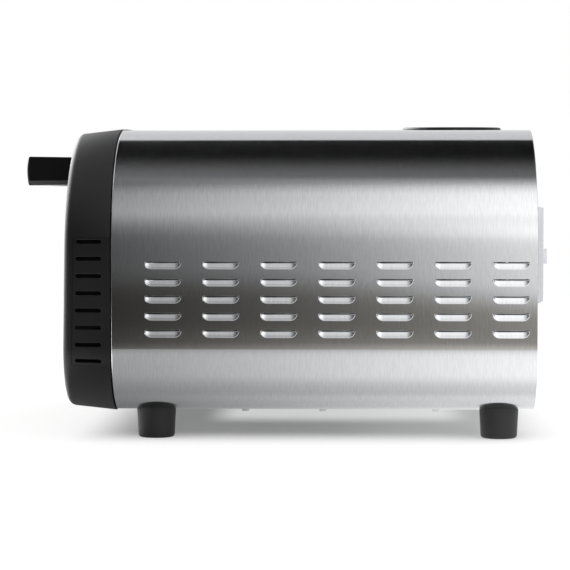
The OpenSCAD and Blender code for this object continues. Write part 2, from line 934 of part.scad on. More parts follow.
module lower_clips() {
    color("gray") clips(chamber_z + element_off, chamber_z);
}

module element_bushings() {
    collar_d = bush_bore_d() + 4 * chamber_t;
    color("white")
        at_bushings()
            difference() {
                union() {
                    rod_y(0, 0, chamber_t + 2 * element_d, 0, bush_bore_d() - 2 * screw_gap);
                    rod_y(0, chamber_t, chamber_t + element_d, 0, collar_d);
                }
                rod_y(0, -over, 3 * element_d, 0, element_d + 2 * fit);
            }
}

module stone_ring() {
    ring_r = stone_d / 2 + sheet_t;
    post_r = ring_r - ring_w / 2;
    color("gray")
        translate([0, middle_y, ring_z]) {
            difference() {
                cylinder(h = ring_t, r = ring_r);
                translate([0, 0, -over]) cylinder(h = ring_t + 2 * over, r = ring_r - ring_w);
            }
            for (a = post_at) {
                rotate([0, 0, a])
                    translate([post_r, 0, chamber_z - ring_z]) cylinder(h = ring_z - chamber_z, d = ring_w / 2);
            }
        }
}

module pizza_stone() {
    edge = stone_t / 6;
    color("burlywood")
        translate([0, middle_y, ring_z + ring_t])
            rotate_extrude()
                polygon([
                    [0, 0],
                    [stone_d / 2 - edge, 0],
                    [stone_d / 2, edge],
                    [stone_d / 2, stone_t - edge],
                    [stone_d / 2 - edge, stone_t],
                    [0, stone_t]
                ]);
}

module thermostat_probe() {
    probe_x = chamber_w / 2 - element_d;
    probe_z = chamber_top - chamber_h / 3;
    reach = chamber_d / 6;
    color("peru") {
        rod_y(probe_x, middle_y - reach, middle_y + reach, probe_z, element_d - 1);
        for (side = [-1, 1]) {
            rod_x(probe_x, chamber_w / 2, middle_y + side * reach * stay_at, probe_z, element_d / 2);
        }
    }
}

module thermal_cutout() {
    color("saddlebrown")
        translate([chamber_w / 4, chamber_back + chamber_t, chamber_z + chamber_h / 2])
            rotate([-90, 0, 0]) {
                cylinder(h = plate_t, d = 6 * screw_d);
                cylinder(h = 3 * screw_d, d = 4 * screw_d);
                for (side = [-1, 1]) {
                    translate([side * screw_d, 0, 3 * screw_d + screw_d])
                        cube([sheet_t, screw_d, 2 * screw_d], center = true);
                }
            }
}

module terminal_block() {
    cell = 3 * screw_d;
    color("ivory")
        translate([0, back_y - panel_in - plate_t - rear_flange_d - 2 * cell, pan_floor_top])
            difference() {
                translate([-2 * cell, 0, 0]) cube([4 * cell, 1.5 * cell, 1.5 * cell]);
                for (i = [-1:1]) {
                    translate([i * cell, 0.75 * cell, cell]) cylinder(h = cell, d = screw_d);
                    translate([(i - 0.5) * cell + cell / 2, 0, cell / 2])
                        rotate([-90, 0, 0]) cylinder(h = 2 * cell, d = screw_d);
                }
            }
}

module vent_duct() {
    top_z = crown_c + sqrt(pow(crown_r, 2) - pow(duct_w / 2, 2)) - fit;
    color("lightgray")
        translate([0, vent_y, chamber_top + chamber_t])
            difference() {
                linear_extrude(height = top_z - chamber_top - chamber_t)
                    round_rect(duct_w, duct_d, chamber_t);
                translate([0, 0, -over])
                    linear_extrude(height = body_h)
                        round_rect(duct_w - 2 * chamber_t, duct_d - 2 * chamber_t, chamber_t / 2);
            }
}

// A plan cut out of a curved sheet that lies along the crown, between two heights above it
module crowned(low, high) {
    intersection() {
        translate([0, vent_y, shoulder_z]) linear_extrude(height = body_h) children();
        front_plate(vent_y - vent_w, vent_y + vent_w, crown_c)
            intersection() {
                difference() {
                    circle(r = crown_r + high, $fn = crown_fn);
                    circle(r = crown_r + low, $fn = crown_fn);
                }
                translate([-vent_w, 0]) square([2 * vent_w, 2 * crown_r]);
            }
    }
}

module top_vent() {
    color("#26272a")
        difference() {
            crowned(0, vent_h) vent_plan(0);
            for (i = [0:vent_slots - 1]) {
                translate([(i - (vent_slots - 1) / 2) * vent_pitch, vent_y, shoulder_z])
                    linear_extrude(height = body_h) rotate([0, 0, 90]) slot(vent_slot_l, vent_slot_w);
            }
        }
}

// A tapered foot whose top follows the wrap's lower edge
module foot(x, y) {
    flat_r = foot_end_d / 2 - foot_edge_r;
    top = base_z + sill_r / 8;
    slope = (foot_d - foot_end_d) / 2 / base_z;
    color("#232325")
        difference() {
            translate([x, y, 0]) {
                rotate_extrude() {
                    polygon([
                        [0, 0],
                        [flat_r, 0],
                        [flat_r, foot_edge_r],
                        [foot_end_d / 2, foot_edge_r],
                        [foot_end_d / 2 + slope * (top - foot_edge_r), top],
                        [0, top]
                    ]);
                    intersection() {
                        translate([flat_r, foot_edge_r]) circle(r = foot_edge_r);
                        translate([flat_r, 0]) square(foot_edge_r);
                    }
                }
            }
            translate([-sill_x, y - foot_d, base_z]) cube([2 * sill_x, 2 * foot_d, sill_r]);
            for (side = [-1, 1]) {
                translate([side * sill_x, 0, 0]) rod_y(0, y - foot_d, y + foot_d, sill_z, 2 * sill_r);
            }
            translate([x, y, -over]) cylinder(h = base_z + 2 * over, d = screw_d + 2 * screw_gap);
            translate([x, y, -over]) cylinder(h = over + base_z / 2, d = head_d + 4 * screw_gap);
        }
}

module foot_front_left() {
    foot(-foot_x, foot_front_y);
}

module foot_front_right() {
    foot(foot_x, foot_front_y);
}

module foot_rear_left() {
    foot(-foot_x, foot_back_y);
}

module foot_rear_right() {
    foot(foot_x, foot_back_y);
}

module foot_screws() {
    color("silver")
        at_feet() translate([0, 0, base_z / 2]) screw(pan_floor_top + screw_d - base_z / 2);
}

module base_screws() {
    color("silver")
        at_base_screws() translate([0, 0, base_z]) screw(pan_floor_top + screw_d - base_z);
}

module door_frame() {
    pocket_y = pan_y - glass_t - 2 * glass_gap;
    color("#1c1d1f")
        difference() {
            intersection() {
                body_slab(bezel_face + door_gap, door_y, pan_y);
                translate([-half_w, door_y - over, door_z]) cube([body_w, door_t + 2 * over, body_h]);
            }
            front_plate(door_y - over, pan_y + over, window_z + window_h / 2)
                round_rect(window_w, window_h, window_r);
            front_plate(pocket_y, pan_y + over, window_z + window_h / 2)
                round_rect(
                    window_w + 2 * glass_lap + 2 * glass_gap,
                    window_h + 2 * glass_lap + 2 * glass_gap,
                    window_r
                );
            for (side = [-1, 1]) {
                rod_x(
                    side * door_side_x - pin_grip - fit,
                    side * door_side_x + pin_grip + fit,
                    hinge_y,
                    hinge_z,
                    pin_d + 2 * pin_gap
                );
                rod_y(side * arm_x, door_y - over, pan_y + over, handle_z, screw_d + 2 * screw_gap);
            }
        }
}

module door_glass() {
    glass_y = pan_y - glass_t - glass_gap;
    color("lightslategray", 0.5)
        front_plate(glass_y, glass_y + glass_t, window_z + window_h / 2)
            round_rect(window_w + 2 * glass_lap, window_h + 2 * glass_lap, window_r);
}

module door_pan() {
    pan_w = mouth_w + 2 * pan_lap;
    pan_z = mouth_z - pan_lap;
    pan_top = mouth_top + pan_lap;
    color("gainsboro")
        difference() {
            front_plate(pan_y, pan_back_y, (pan_z + pan_top) / 2)
                round_rect(pan_w, pan_top - pan_z, 2 * screw_d);
            front_plate(pan_y - over, pan_back_y - plate_t, (pan_z + pan_top) / 2)
                round_rect(pan_w - 2 * plate_t, pan_top - pan_z - 2 * plate_t, 2 * screw_d - plate_t);
            front_plate(pan_y, pan_back_y + over, window_z + window_h / 2)
                round_rect(window_w - 2 * glass_lap, window_h - 2 * glass_lap, window_r);
        }
}

module inner_glass() {
    glass_y = pan_back_y - plate_t - inner_glass_t;
    color("lightslategray", 0.5)
        front_plate(glass_y, glass_y + inner_glass_t, window_z + window_h / 2)
            round_rect(window_w - glass_lap, window_h - glass_lap, window_r);
}

// Plan of the handle: a bar with round outer corners and two arms back to the door
module handle_plan() {
    depth = door_y - handle_y;
    difference() {
        union() {
            translate([0, handle_corner_r + (depth - handle_corner_r) / 2])
                square([handle_l, depth - handle_corner_r], center = true);
            translate([0, handle_corner_r / 2])
                square([handle_l - 2 * handle_corner_r, handle_corner_r], center = true);
            for (side = [-1, 1]) {
                translate([side * (handle_l / 2 - handle_corner_r), handle_corner_r])
                    circle(r = handle_corner_r);
            }
        }
        translate([0, handle_t + depth / 2]) square([handle_l - 2 * handle_arm, depth], center = true);
    }
}

// Side profile of the handle: bowed front, eased edges, arms a little slimmer at the door
module handle_side() {
    depth = door_y - handle_y;
    root = handle_h / 2 - handle_taper;
    r = handle_edge_r;
    intersection() {
        translate([handle_bow, 0]) circle(r = handle_bow);
        union() {
            polygon([
                [2 * r, -handle_h / 2],
                [depth, -root],
                [depth, root],
                [2 * r, handle_h / 2],
                [0, handle_h / 2 - 2 * r],
                [0, 2 * r - handle_h / 2]
            ]);
            for (side = [-1, 1]) {
                translate([2 * r, side * (handle_h / 2 - r)]) circle(r = r);
            }
        }
    }
}

module door_handle() {
    color("#17181a")
        translate([0, handle_y, handle_z])
            difference() {
                intersection() {
                    translate([0, 0, -handle_h]) linear_extrude(height = 2 * handle_h) handle_plan();
                    rotate([90, 0, 90]) linear_extrude(height = 2 * handle_l, center = true) handle_side();
                }
                for (side = [-1, 1]) {
                    rod_y(side * arm_x, handle_t, handle_reach + handle_t, 0, screw_d + 2 * pin_gap);
                }
            }
}

module handle_screws() {
    color("silver")
        for (side = [-1, 1]) {
            translate([side * arm_x, pan_y, handle_z]) rotate([90, 0, 0]) screw(2 * door_t);
        }
}

// A hinge pin from inside the door frame through the bracket, with its clip beyond
module hinge_pin() {
    clip_x = bracket_x + plate_t + fit;
    rod_x(door_side_x - pin_grip, clip_x + plate_t, hinge_y, hinge_z, pin_d);
    rod_x(clip_x, clip_x + plate_t, hinge_y, hinge_z, pin_d + 2 * plate_t);
}

module hinge_pin_left() {
    color("silver") mirror([1, 0, 0]) hinge_pin();
}

module hinge_pin_right() {
    color("silver") hinge_pin();
}

// A sheet bracket from the chassis plate forward to the hinge line, bored for the pin
module hinge_bracket() {
    eye_r = pin_d / 2 + pin_wall;
    foot_w = bezel_face - bezel_wall - bezel_proud - 3 * fit;
    difference() {
        union() {
            translate([bracket_x, hinge_y, hinge_z - eye_r])
                cube([plate_t, seam_y - hinge_y, 2 * eye_r]);
            rod_x(bracket_x, bracket_x + plate_t, hinge_y, hinge_z, 2 * eye_r);
            translate([bracket_x, seam_y - plate_t, hinge_z - eye_r])
                cube([foot_w / 2, plate_t, 2 * eye_r]);
        }
        rod_x(bracket_x - over, bracket_x + plate_t + over, hinge_y, hinge_z, pin_d + 2 * pin_gap);
    }
}

module hinge_bracket_left() {
    color("darkgray") mirror([1, 0, 0]) hinge_bracket();
}

module hinge_bracket_right() {
    color("darkgray") hinge_bracket();
}

outer_wrap();
base_pan();
rear_panel();
rear_cover();
rear_cover_screws();
cord_gland();
front_chassis();
front_bezel();
control_fascia();
heat_knob();
selector_knob();
timer_knob();
heat_shaft();
selector_shaft();
timer_shaft();
thermostat();
selector_switch();
timer_unit();
power_lamp();
heat_lamp();
chamber_floor();
chamber_ceiling();
chamber_left();
chamber_right();
chamber_back_wall();
insulation_top();
insulation_left();
insulation_right();
upper_element();
lower_element();
upper_clips();
lower_clips();
element_bushings();
stone_ring();
pizza_stone();
thermostat_probe();
thermal_cutout();
terminal_block();
vent_duct();
top_vent();
foot_front_left();
foot_front_right();
foot_rear_left();
foot_rear_right();
foot_screws();
base_screws();
door_frame();
door_glass();
door_pan();
inner_glass();
door_handle();
handle_screws();
hinge_pin_left();
hinge_pin_right();
hinge_bracket_left();
hinge_bracket_right();
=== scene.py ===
"""Countertop pizza oven: louvred steel wrap, black bezel, drop-down glass door, controls and studio."""

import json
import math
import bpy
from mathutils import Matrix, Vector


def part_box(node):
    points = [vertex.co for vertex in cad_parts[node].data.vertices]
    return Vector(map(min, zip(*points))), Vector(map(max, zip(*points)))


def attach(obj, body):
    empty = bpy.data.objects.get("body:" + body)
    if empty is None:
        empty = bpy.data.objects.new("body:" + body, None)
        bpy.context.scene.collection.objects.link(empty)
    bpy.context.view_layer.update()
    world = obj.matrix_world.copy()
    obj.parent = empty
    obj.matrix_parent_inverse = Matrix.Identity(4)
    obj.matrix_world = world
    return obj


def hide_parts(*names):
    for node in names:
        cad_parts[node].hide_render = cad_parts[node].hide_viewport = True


bl_info = {
    "name": "Countertop Pizza Oven",
    "version": (1, 0, 0),
    "blender": (4, 5, 0),
    "location": "3D View > Sidebar > Oven",
    "description": "Builds the looks of a countertop pizza oven round its CAD frame",
    "category": "Object",
}

import bmesh
import bpy
from mathutils import Vector

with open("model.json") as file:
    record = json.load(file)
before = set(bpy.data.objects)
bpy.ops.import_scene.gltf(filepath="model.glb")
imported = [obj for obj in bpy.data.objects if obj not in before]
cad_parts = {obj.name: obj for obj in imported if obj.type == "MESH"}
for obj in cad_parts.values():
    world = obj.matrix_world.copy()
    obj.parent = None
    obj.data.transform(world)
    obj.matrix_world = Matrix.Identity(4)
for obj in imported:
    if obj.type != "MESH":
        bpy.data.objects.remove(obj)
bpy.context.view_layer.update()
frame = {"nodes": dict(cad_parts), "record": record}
MM = 0.001
# Tolerances: points that are one, seams that merge, and runs that lie too close
SAME, MERGE, NEAR = 1e-6, 2e-6, 2e-4
# Louvre cell: flat margin at its ends, rounding of the cut edge, steps of scoop and bead, edge-on faces
LOUVRE_MARGIN, CUT_EASE, LOUVRE_STEPS, BEAD_STEPS, EDGE_ON = 3 * MM, 0.35 * MM, 10, 6, 1e-4
# Rim of the sheet past the vent's slots, and the height that the wrap's faces turn away from
VENT_MARGIN, CORE_Z = 3 * MM, 0.14
# Steps round the wrap's curves
SILL_STEPS, SHOULDER_STEPS, CROWN_STEPS = 26, 34, 12
# Lower radius of a foot over its upper one, and the gap round the fascia
FOOT_TAPER, FASCIA_GAP = 0.93, 0.3 * MM
# Prints: pointers, ticks and numbers with their widths, heights, thicknesses and places
POINTER_W, POINTER_T, TICK_W, TICK_L, TICK_OUT = 1.4 * MM, 0.12 * MM, 0.7 * MM, 2.4 * MM, 2.2 * MM
NUMBER_H, NUMBER_OUT, PRINT_T, PRINT_PROUD = 4.2 * MM, 6 * MM, 0.1 * MM, 0.02 * MM
HEAT_STAIN = (0.27, 0.22, 0.17)
# Floor level and the camera's place and aim
FLOOR_Z = -0.0003
CAMERA_AWAY, CAMERA_ALONG, CAMERA_UP, CAMERA_AIM = 1.87, 0.2133, 0.214, (-1.0, -0.0343, -0.0411)


def length(name, description, default):
    """A panel entry for a length given in millimetres."""
    return bpy.props.FloatProperty(
        name=name, description=description, default=default * MM, unit="LENGTH", precision=5
    )


def degrees(name, description, default):
    """A panel entry for an angle given in degrees."""
    return bpy.props.FloatProperty(
        name=name, description=description, default=math.radians(default), subtype="ANGLE"
    )


def ratio(name, description, default):
    """A panel entry for a plain number."""
    return bpy.props.FloatProperty(name=name, description=description, default=default, min=0.0)


def whole(name, description, default):
    """A panel entry for a count."""
    return bpy.props.IntProperty(name=name, description=description, default=default, min=1)


def tint(name, description, default):
    """A panel entry for a colour."""
    return bpy.props.FloatVectorProperty(
        name=name, description=description, default=default, subtype="COLOR", size=3, min=0.0, max=1.0
    )


class OvenSizes(bpy.types.PropertyGroup):
    """Sizes that give the oven its shape."""

    shoulder_r: length("Shoulder radius", "Radius between side and crown", 105)
    shoulder_turn: degrees("Shoulder turn", "Angle the shoulder turns", 88)
    sill_r: length("Sill radius", "Radius of the wrap's lower edge", 57)
    sheet_t: length("Sheet", "Thickness of the wrap's sheet", 1)
    lip_w: length("Lip", "Width of the lip under the base", 22)
    louvre_cols: whole("Louvre columns", "Columns in each side", 7)
    louvre_rows: whole("Louvre rows", "Rows in each side", 5)
    louvre_l: length("Louvre length", "Length along the cut edge", 30.6)
    louvre_h: length("Louvre height", "Height of a scoop", 5.4)
    louvre_d: ratio("Louvre depth", "Depth of a scoop over its height", 0.36)
    louvre_bead: length("Louvre bead", "Height of the bead round a scoop", 0.16)
    louvre_bead_w: length("Louvre bead width", "Width of the bead round a scoop", 0.9)
    louvre_curl: ratio("Louvre curl", "How late a scoop steepens", 1.25)
    louvre_mouth: degrees("Louvre mouth", "Open angle under the cut edge", 4)
    louvre_pitch_y: length("Column spacing", "Spacing of the louvre columns", 49.7)
    louvre_pitch_z: length("Row spacing", "Spacing of the louvre rows", 14.7)
    louvre_first: length("First column", "From the seam to the first column", 44.1)
    louvre_up: length("Top row", "Top row's cut edge above the underside", 131.4)
    bezel_proud: length("Bezel proud", "How far the bezel stands out at the seam", 1)
    bezel_sink: length("Bezel sink", "How much less the bezel stands out at the sides", 0.9)
    bezel_draft: length("Bezel draft", "How much the bezel draws in to the front", 4.5)
    bezel_edge_r: length("Bezel edge", "Radius of the bezel's front edge", 7)
    bezel_face: length("Bezel face", "Width of the bezel's face", 16)
    bezel_wall: length("Bezel wall", "Wall of the bezel", 3)
    bezel_lean: degrees("Bezel lean", "Backward lean of the face", 0.9)
    seam_gap: length("Seam", "Open seam between bezel and wrap", 1.2)
    slot_count: whole("Bezel slots", "Slots in each side", 8)
    slot_l: length("Slot length", "Length of a bezel slot", 23)
    slot_h: length("Slot height", "Height of a bezel slot", 3.8)
    slot_pitch: length("Slot spacing", "Spacing of the bezel slots", 14.83)
    slot_up: length("Lowest slot", "Lowest slot above the underside", 45)
    slot_back: length("Slot end", "From the seam to a slot's end", 9.2)
    slot_sink: length("Slot panel", "Depth of the shallow panel round the slots", 0.55)
    door_gap: length("Door gap", "Running gap round the door", 2.4)
    window_w: length("Window width", "Width of the window", 290)
    window_h: length("Window height", "Height of the window", 92)
    window_r: length("Window corner", "Corner radius of the window", 16)
    window_up: length("Window height above the edge", "Window above the door's lower edge", 22)
    handle_t: length("Handle bar", "Depth of the handle's bar", 15)
    handle_arm: length("Handle arm", "Width of a handle arm", 26)
    handle_bow: length("Handle bow", "Bulge radius of the handle's front", 53)
    handle_edge_r: length("Handle edge", "Radius of the handle's long edges", 1.2)
    handle_slant: length("Handle slant", "Slanted edge under the handle's ends", 4.2)
    handle_corner_r: length("Handle corner", "Radius of the handle's corners", 3)
    handle_taper: length("Handle taper", "Narrowing of the arms at the door", 0.7)
    knob_grip: length("Knob grip", "Width of a knob's grip bar", 12.2)
    vent_slots: whole("Vent slots", "Slots across the top vent", 9)
    vent_slot_l: length("Vent slot length", "Length of a vent slot", 60)
    vent_slot_w: length("Vent slot width", "Width of a vent slot", 6.6)
    vent_pitch: length("Vent slot spacing", "Spacing of the vent slots", 13.2)
    vent_rim: length("Vent rim", "How far the grille stands in from its seat", 2.2)
    vent_edge: length("Vent edge", "Rounding of the vent's rim", 1.6)
    foot_swell: length("Foot swell", "How much the rubber bulges past its core", 0.9)
    foot_edge_r: length("Foot edge", "Radius of a foot's lower edge", 2.5)


class OvenColours(bpy.types.PropertyGroup):
    """Colours of the oven's finishes."""

    steel: tint("Steel", "Brushed wrap", (0.59, 0.60, 0.612))
    black: tint("Black moulding", "Bezel, door and controls", (0.006, 0.006, 0.0063))
    grip: tint("Handle", "Handle moulding", (0.004, 0.004, 0.0043))
    rubber: tint("Rubber", "Feet", (0.013, 0.013, 0.013))
    pale: tint("Pale paint", "Rear cover and panel", (0.84, 0.86, 0.89))
    zinc: tint("Zinc sheet", "Inner sheets", (0.52, 0.53, 0.54))
    bright: tint("Bright steel", "Screws, pins and shafts", (0.70, 0.70, 0.71))
    ivory: tint("Ivory", "Control bodies", (0.66, 0.62, 0.52))
    wool: tint("Insulation", "Mineral pads", (0.42, 0.40, 0.35))
    element: tint("Element", "Heating elements", (0.20, 0.195, 0.19))
    china: tint("Porcelain", "Bushings", (0.82, 0.81, 0.78))
    stone: tint("Stone", "Pizza stone", (0.60, 0.48, 0.34))
    glass: tint("Glass", "Door panes", (0.72, 0.76, 0.76))
    print_ink: tint("Print", "Dial marks", (0.75, 0.75, 0.73))
    red: tint("Red lens", "Power lamp", (0.65, 0.05, 0.02))
    amber: tint("Amber lens", "Heat lamp", (0.75, 0.30, 0.03))


class StudioSettings(bpy.types.PropertyGroup):
    """Levels of the studio."""

    dome: ratio("Dome", "Soft light from all round", 1.0)
    box: ratio("Softbox", "Level of the softbox", 1.0)
    floor: tint("Floor", "Colour of the floor", (0.95, 0.95, 0.94))
    lens: ratio("Lens", "Camera lens in millimetres", 138.2)


class OvenForm:
    """Places that several pieces share, worked out from the CAD boxes and the panel's sizes."""

    def __init__(self):
        z = self.sizes = bpy.context.scene.oven_sizes
        low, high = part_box("outer_wrap")
        self.half_w, self.base_z, self.crown_z = high.x, low.z, high.z
        self.seam_y, self.back_y = low.y, high.y
        self.front_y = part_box("front_bezel")[0].y
        self.bezel_d = self.seam_y - self.front_y
        self.sill_x, self.sill_z = self.half_w - z.sill_r, self.base_z + z.sill_r
        self.shoulder_x = self.half_w - z.shoulder_r
        self.crown_r = z.shoulder_r + self.shoulder_x / math.cos(z.shoulder_turn)
        self.crown_c = self.crown_z - self.crown_r
        self.shoulder_z = self.crown_c + (self.crown_r - z.shoulder_r) * math.sin(z.shoulder_turn)
        self.sill_end = z.sill_r * math.pi / 2
        self.side_end = self.sill_end + self.shoulder_z - self.sill_z
        self.turn_end = self.side_end + z.shoulder_r * z.shoulder_turn
        self.crown_end = self.turn_end + self.crown_r * (math.pi / 2 - z.shoulder_turn)

    def at(self, s):
        """Point and outward normal (x, z, nx, nz) at a run along the right half, from the sill up."""
        z = self.sizes
        if s <= 0:
            return self.sill_x + s, self.base_z, 0.0, -1.0
        if s < self.sill_end:
            centre, r, a = (self.sill_x, self.sill_z), z.sill_r, s / z.sill_r - math.pi / 2
        elif s <= self.side_end:
            return self.half_w, self.sill_z + s - self.sill_end, 1.0, 0.0
        elif s <= self.turn_end:
            centre, r, a = (self.shoulder_x, self.shoulder_z), z.shoulder_r, (s - self.side_end) / z.shoulder_r
        else:
            centre, r = (0.0, self.crown_c), self.crown_r
            a = z.shoulder_turn + (s - self.turn_end) / r
        c, d = math.cos(a), math.sin(a)
        return centre[0] + r * c, centre[1] + r * d, c, d

    def runs(self, extra=()):
        """Runs along the right half that draw its curves smoothly, with some more put in."""
        out = set(round(e, 7) for e in extra)
        for a, b, n in (
            (0, self.sill_end, SILL_STEPS),
            (self.sill_end, self.side_end, 1),
            (self.side_end, self.turn_end, SHOULDER_STEPS),
            (self.turn_end, self.crown_end, CROWN_STEPS),
        ):
            for i in range(n + 1):
                s = round(a + (b - a) * i / n, 7)
                if all(abs(s - e) > NEAR for e in out):
                    out.add(s)
        return sorted(out)

    def run_at_z(self, z):
        """Run of a height on the sill, side or shoulder."""
        if z < self.sill_z:
            return self.sizes.sill_r * (math.pi / 2 + math.asin((z - self.sill_z) / self.sizes.sill_r))
        if z <= self.shoulder_z:
            return self.sill_end + z - self.sill_z
        return self.side_end + self.sizes.shoulder_r * math.asin((z - self.shoulder_z) / self.sizes.shoulder_r)

    def crown(self, x):
        """Height of the crown at a place across."""
        return self.crown_c + math.sqrt(self.crown_r**2 - x * x)

    def underside(self, x):
        """Height of the wrap's lower face at a place across."""
        past = abs(x) - self.sill_x
        if past <= 0:
            return self.base_z
        return self.sill_z - math.sqrt(self.sizes.sill_r**2 - past * past)

    def loop(self, n, low=None, high=None):
        """The outline offset by n as x, z points, once round from the lower left, kept between two heights."""
        half = []
        for s in self.runs():
            x, z, nx, nz = self.at(s)
            half.append((x + nx * n, z + nz * n))
        if low is not None:
            half = [(half_x(half, low), low)] + [p for p in half if p[1] > low + NEAR]
        if high is not None:
            half = [p for p in half if p[1] < high - NEAR] + [(half_x(half, high), high)]
        if abs(half[-1][0]) < SAME:
            return half + [(-x, z) for x, z in reversed(half[:-1])]
        return half + [(-x, z) for x, z in reversed(half)]


def half_x(points, z):
    """Where a rising chain of x, z points crosses a height."""
    for (x0, z0), (x1, z1) in zip(points, points[1:]):
        if z0 <= z <= z1 and z1 > z0:
            return x0 + (x1 - x0) * (z - z0) / (z1 - z0)
    return points[0][0]


def bow(cx, cy, r, a0, a1, steps):
    """Points of an arc, angles in degrees."""
    return [
        (cx + r * math.cos(math.radians(a)), cy + r * math.sin(math.radians(a)))
        for a in (a0 + (a1 - a0) * i / steps for i in range(steps + 1))
    ]


def round_rect(w, h, r, steps=8, cx=0.0, cy=0.0):
    """A rectangle with round corners, anticlockwise."""
    out = []
    for sx, sy, a in ((1, -1, -90), (1, 1, 0), (-1, 1, 90), (-1, -1, 180)):
        out += bow(cx + sx * (w / 2 - r), cy + sy * (h / 2 - r), r, a, a + 90, steps)
    return tidy_loop(out)


def slot_loop(along, across, steps=8, cx=0.0, cy=0.0):
    """A slot with round ends along x, anticlockwise."""
    return round_rect(along, across, across / 2, steps, cx, cy)


def tidy_loop(points):
    """A closed chain without repeated points."""
    out = []
    for p in points:
        if not out or math.dist(p, out[-1]) > SAME:
            out.append(p)
    if math.dist(out[0], out[-1]) < SAME:
        out.pop()
    return out


def drawn_in(points, r):
    """An anticlockwise chain moved inward by r, with mitred corners."""
    out = []
    n = len(points)
    for i, (x, y) in enumerate(points):
        ax, ay = x - points[i - 1][0], y - points[i - 1][1]
        bx, by = points[(i + 1) % n][0] - x, points[(i + 1) % n][1] - y
        la, lb = math.hypot(ax, ay), math.hypot(bx, by)
        nx, ny = -ay / la - by / lb, ax / la + bx / lb
        k = 2 / max(nx * nx + ny * ny, 0.5)
        out.append((x + nx * k * r, y + ny * k * r))
    return out


def ring(bm, points):
    """New vertices at 3D points."""
    return [bm.verts.new(p) for p in points]


def bridge(bm, a, b, closed=True):
    """Quads between two rings of the same count."""
    n = len(a)
    for i in range(n if closed else n - 1):
        j = (i + 1) % n
        bm.faces.new((a[i], a[j], b[j], b[i]))


def fill(bm, *rings):
    """Triangles over a flat ring, its other rings being holes."""
    edges = []
    for r in rings:
        for i, v in enumerate(r):
            w = r[(i + 1) % len(r)]
            edges.append(bm.edges.get((v, w)) or bm.edges.new((v, w)))
    bmesh.ops.triangle_fill(bm, use_beauty=True, use_dissolve=False, edges=edges)


def stack(bm, rows, closed=True):
    """Quads between each ring and the next."""
    for a, b in zip(rows, rows[1:]):
        bridge(bm, a, b, closed)
    return rows


def slab(bm, outer, holes, w0, w1, r0, r1, steps=4):
    """A plate drawn in x and y between two levels of z, all its edges rounded by r0 below and r1 above."""
    levels = [(r0 * (1 - math.sin(t)), w0 + r0 * (1 - math.cos(t))) for t in quarter(steps)]
    levels += [(r1 * (1 - math.cos(t)), w1 - r1 * (1 - math.sin(t))) for t in quarter(steps)]
    ends = ([], [])
    for loop, sign in [(outer, 1)] + [(h, -1) for h in holes]:
        rows = [ring(bm, [(x, y, w) for x, y in drawn_in(loop, sign * inset)]) for inset, w in levels]
        stack(bm, rows)
        ends[0].append(rows[0])
        ends[1].append(rows[-1])
    for rings in ends:
        fill(bm, *rings)


def quarter(steps):
    """Angles over a quarter turn."""
    return [math.pi / 2 * i / steps for i in range(steps + 1)]


def lathe(bm, profile, steps=64):
    """A profile of radius and height turned about z; a radius of zero closes an end."""
    rows = []
    for r, h in profile:
        if r < 1e-7:
            rows.append([bm.verts.new((0, 0, h))])
        else:
            rows.append(ring(bm, [(x, y, h) for x, y in bow(0, 0, r, 0, 360 - 360 / steps, steps - 1)]))
    for a, b in zip(rows, rows[1:]):
        if len(a) == 1 or len(b) == 1:
            tip, rim = (a[0], b) if len(a) == 1 else (b[0], a)
            for i in range(steps):
                bm.faces.new((rim[i], rim[(i + 1) % steps], tip))
        else:
            bridge(bm, a, b)


def move(bm, place, since=0):
    """Carries vertices made since a count through a function of their place."""
    bm.verts.ensure_lookup_table()
    for v in bm.verts[since:]:
        v.co = place(*v.co)


def holed_cell(bm, rect, hole, depth, lip):
    """A flat cell with one rounded hole whose walls run down."""
    x0, x1, y0, y1 = rect
    border = ring(bm, [(x0, y0, 0), (x1, y0, 0), (x1, y1, 0), (x0, y1, 0)])
    rows = [ring(bm, [(x, y, 0) for x, y in drawn_in(hole, -2 * lip)])]
    fill(bm, border, rows[0])
    for t in quarter(3):
        down, out = lip * (math.cos(t) - 1), lip * (math.sin(t) - 1)
        rows.append(ring(bm, [(x, y, down) for x, y in drawn_in(hole, out)]))
    rows.append(ring(bm, [(x, y, -depth) for x, y in hole]))
    stack(bm, rows)


def closed_up(bm, turn_out=True):
    """Merges seams and turns the faces outward."""
    bmesh.ops.remove_doubles(bm, verts=bm.verts, dist=MERGE)
    bmesh.ops.dissolve_degenerate(bm, edges=bm.edges, dist=SAME)
    if turn_out:
        bmesh.ops.recalc_face_normals(bm, faces=bm.faces)


def soften(mesh, angle):
    """Smooth shading with sharp edges past an angle."""
    mesh.polygons.foreach_set("use_smooth", [True] * len(mesh.polygons))
    mesh.set_sharp_from_angle(angle=math.radians(angle))


def linked(name, data):
    """A new object in the scene."""
    obj = bpy.data.objects.new(name, data)
    bpy.context.scene.collection.objects.link(obj)
    return obj


def mesh_from(name, bm):
    """A bmesh as a mesh."""
    mesh = bpy.data.meshes.new(name)
    bm.to_mesh(mesh)
    bm.free()
    return mesh


def mesh_of(obj):
    """The plain mesh of an object with its modifiers or its curve."""
    return bpy.data.meshes.new_from_object(obj.evaluated_get(bpy.context.evaluated_depsgraph_get()))


def put(name, shape, finish, body, nodes=(), angle=35):
    """Makes a piece of a bmesh or mesh, with its finish, its body and the CAD nodes it stands for."""
    mesh = mesh_from(name, shape) if isinstance(shape, bmesh.types.BMesh) else shape
    mesh.name = name
    soften(mesh, angle)
    mesh.materials.clear()
    mesh.materials.append(finish)
    obj = linked(name, mesh)
    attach(obj, body)
    if nodes:
        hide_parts(*nodes)
    return obj


def body_of_node(node):
    """The body that a CAD node belongs to."""
    for body, members in frame["record"]["behaviour"]["bodies"].items():
        if node in members:
            return body
    raise KeyError(node)


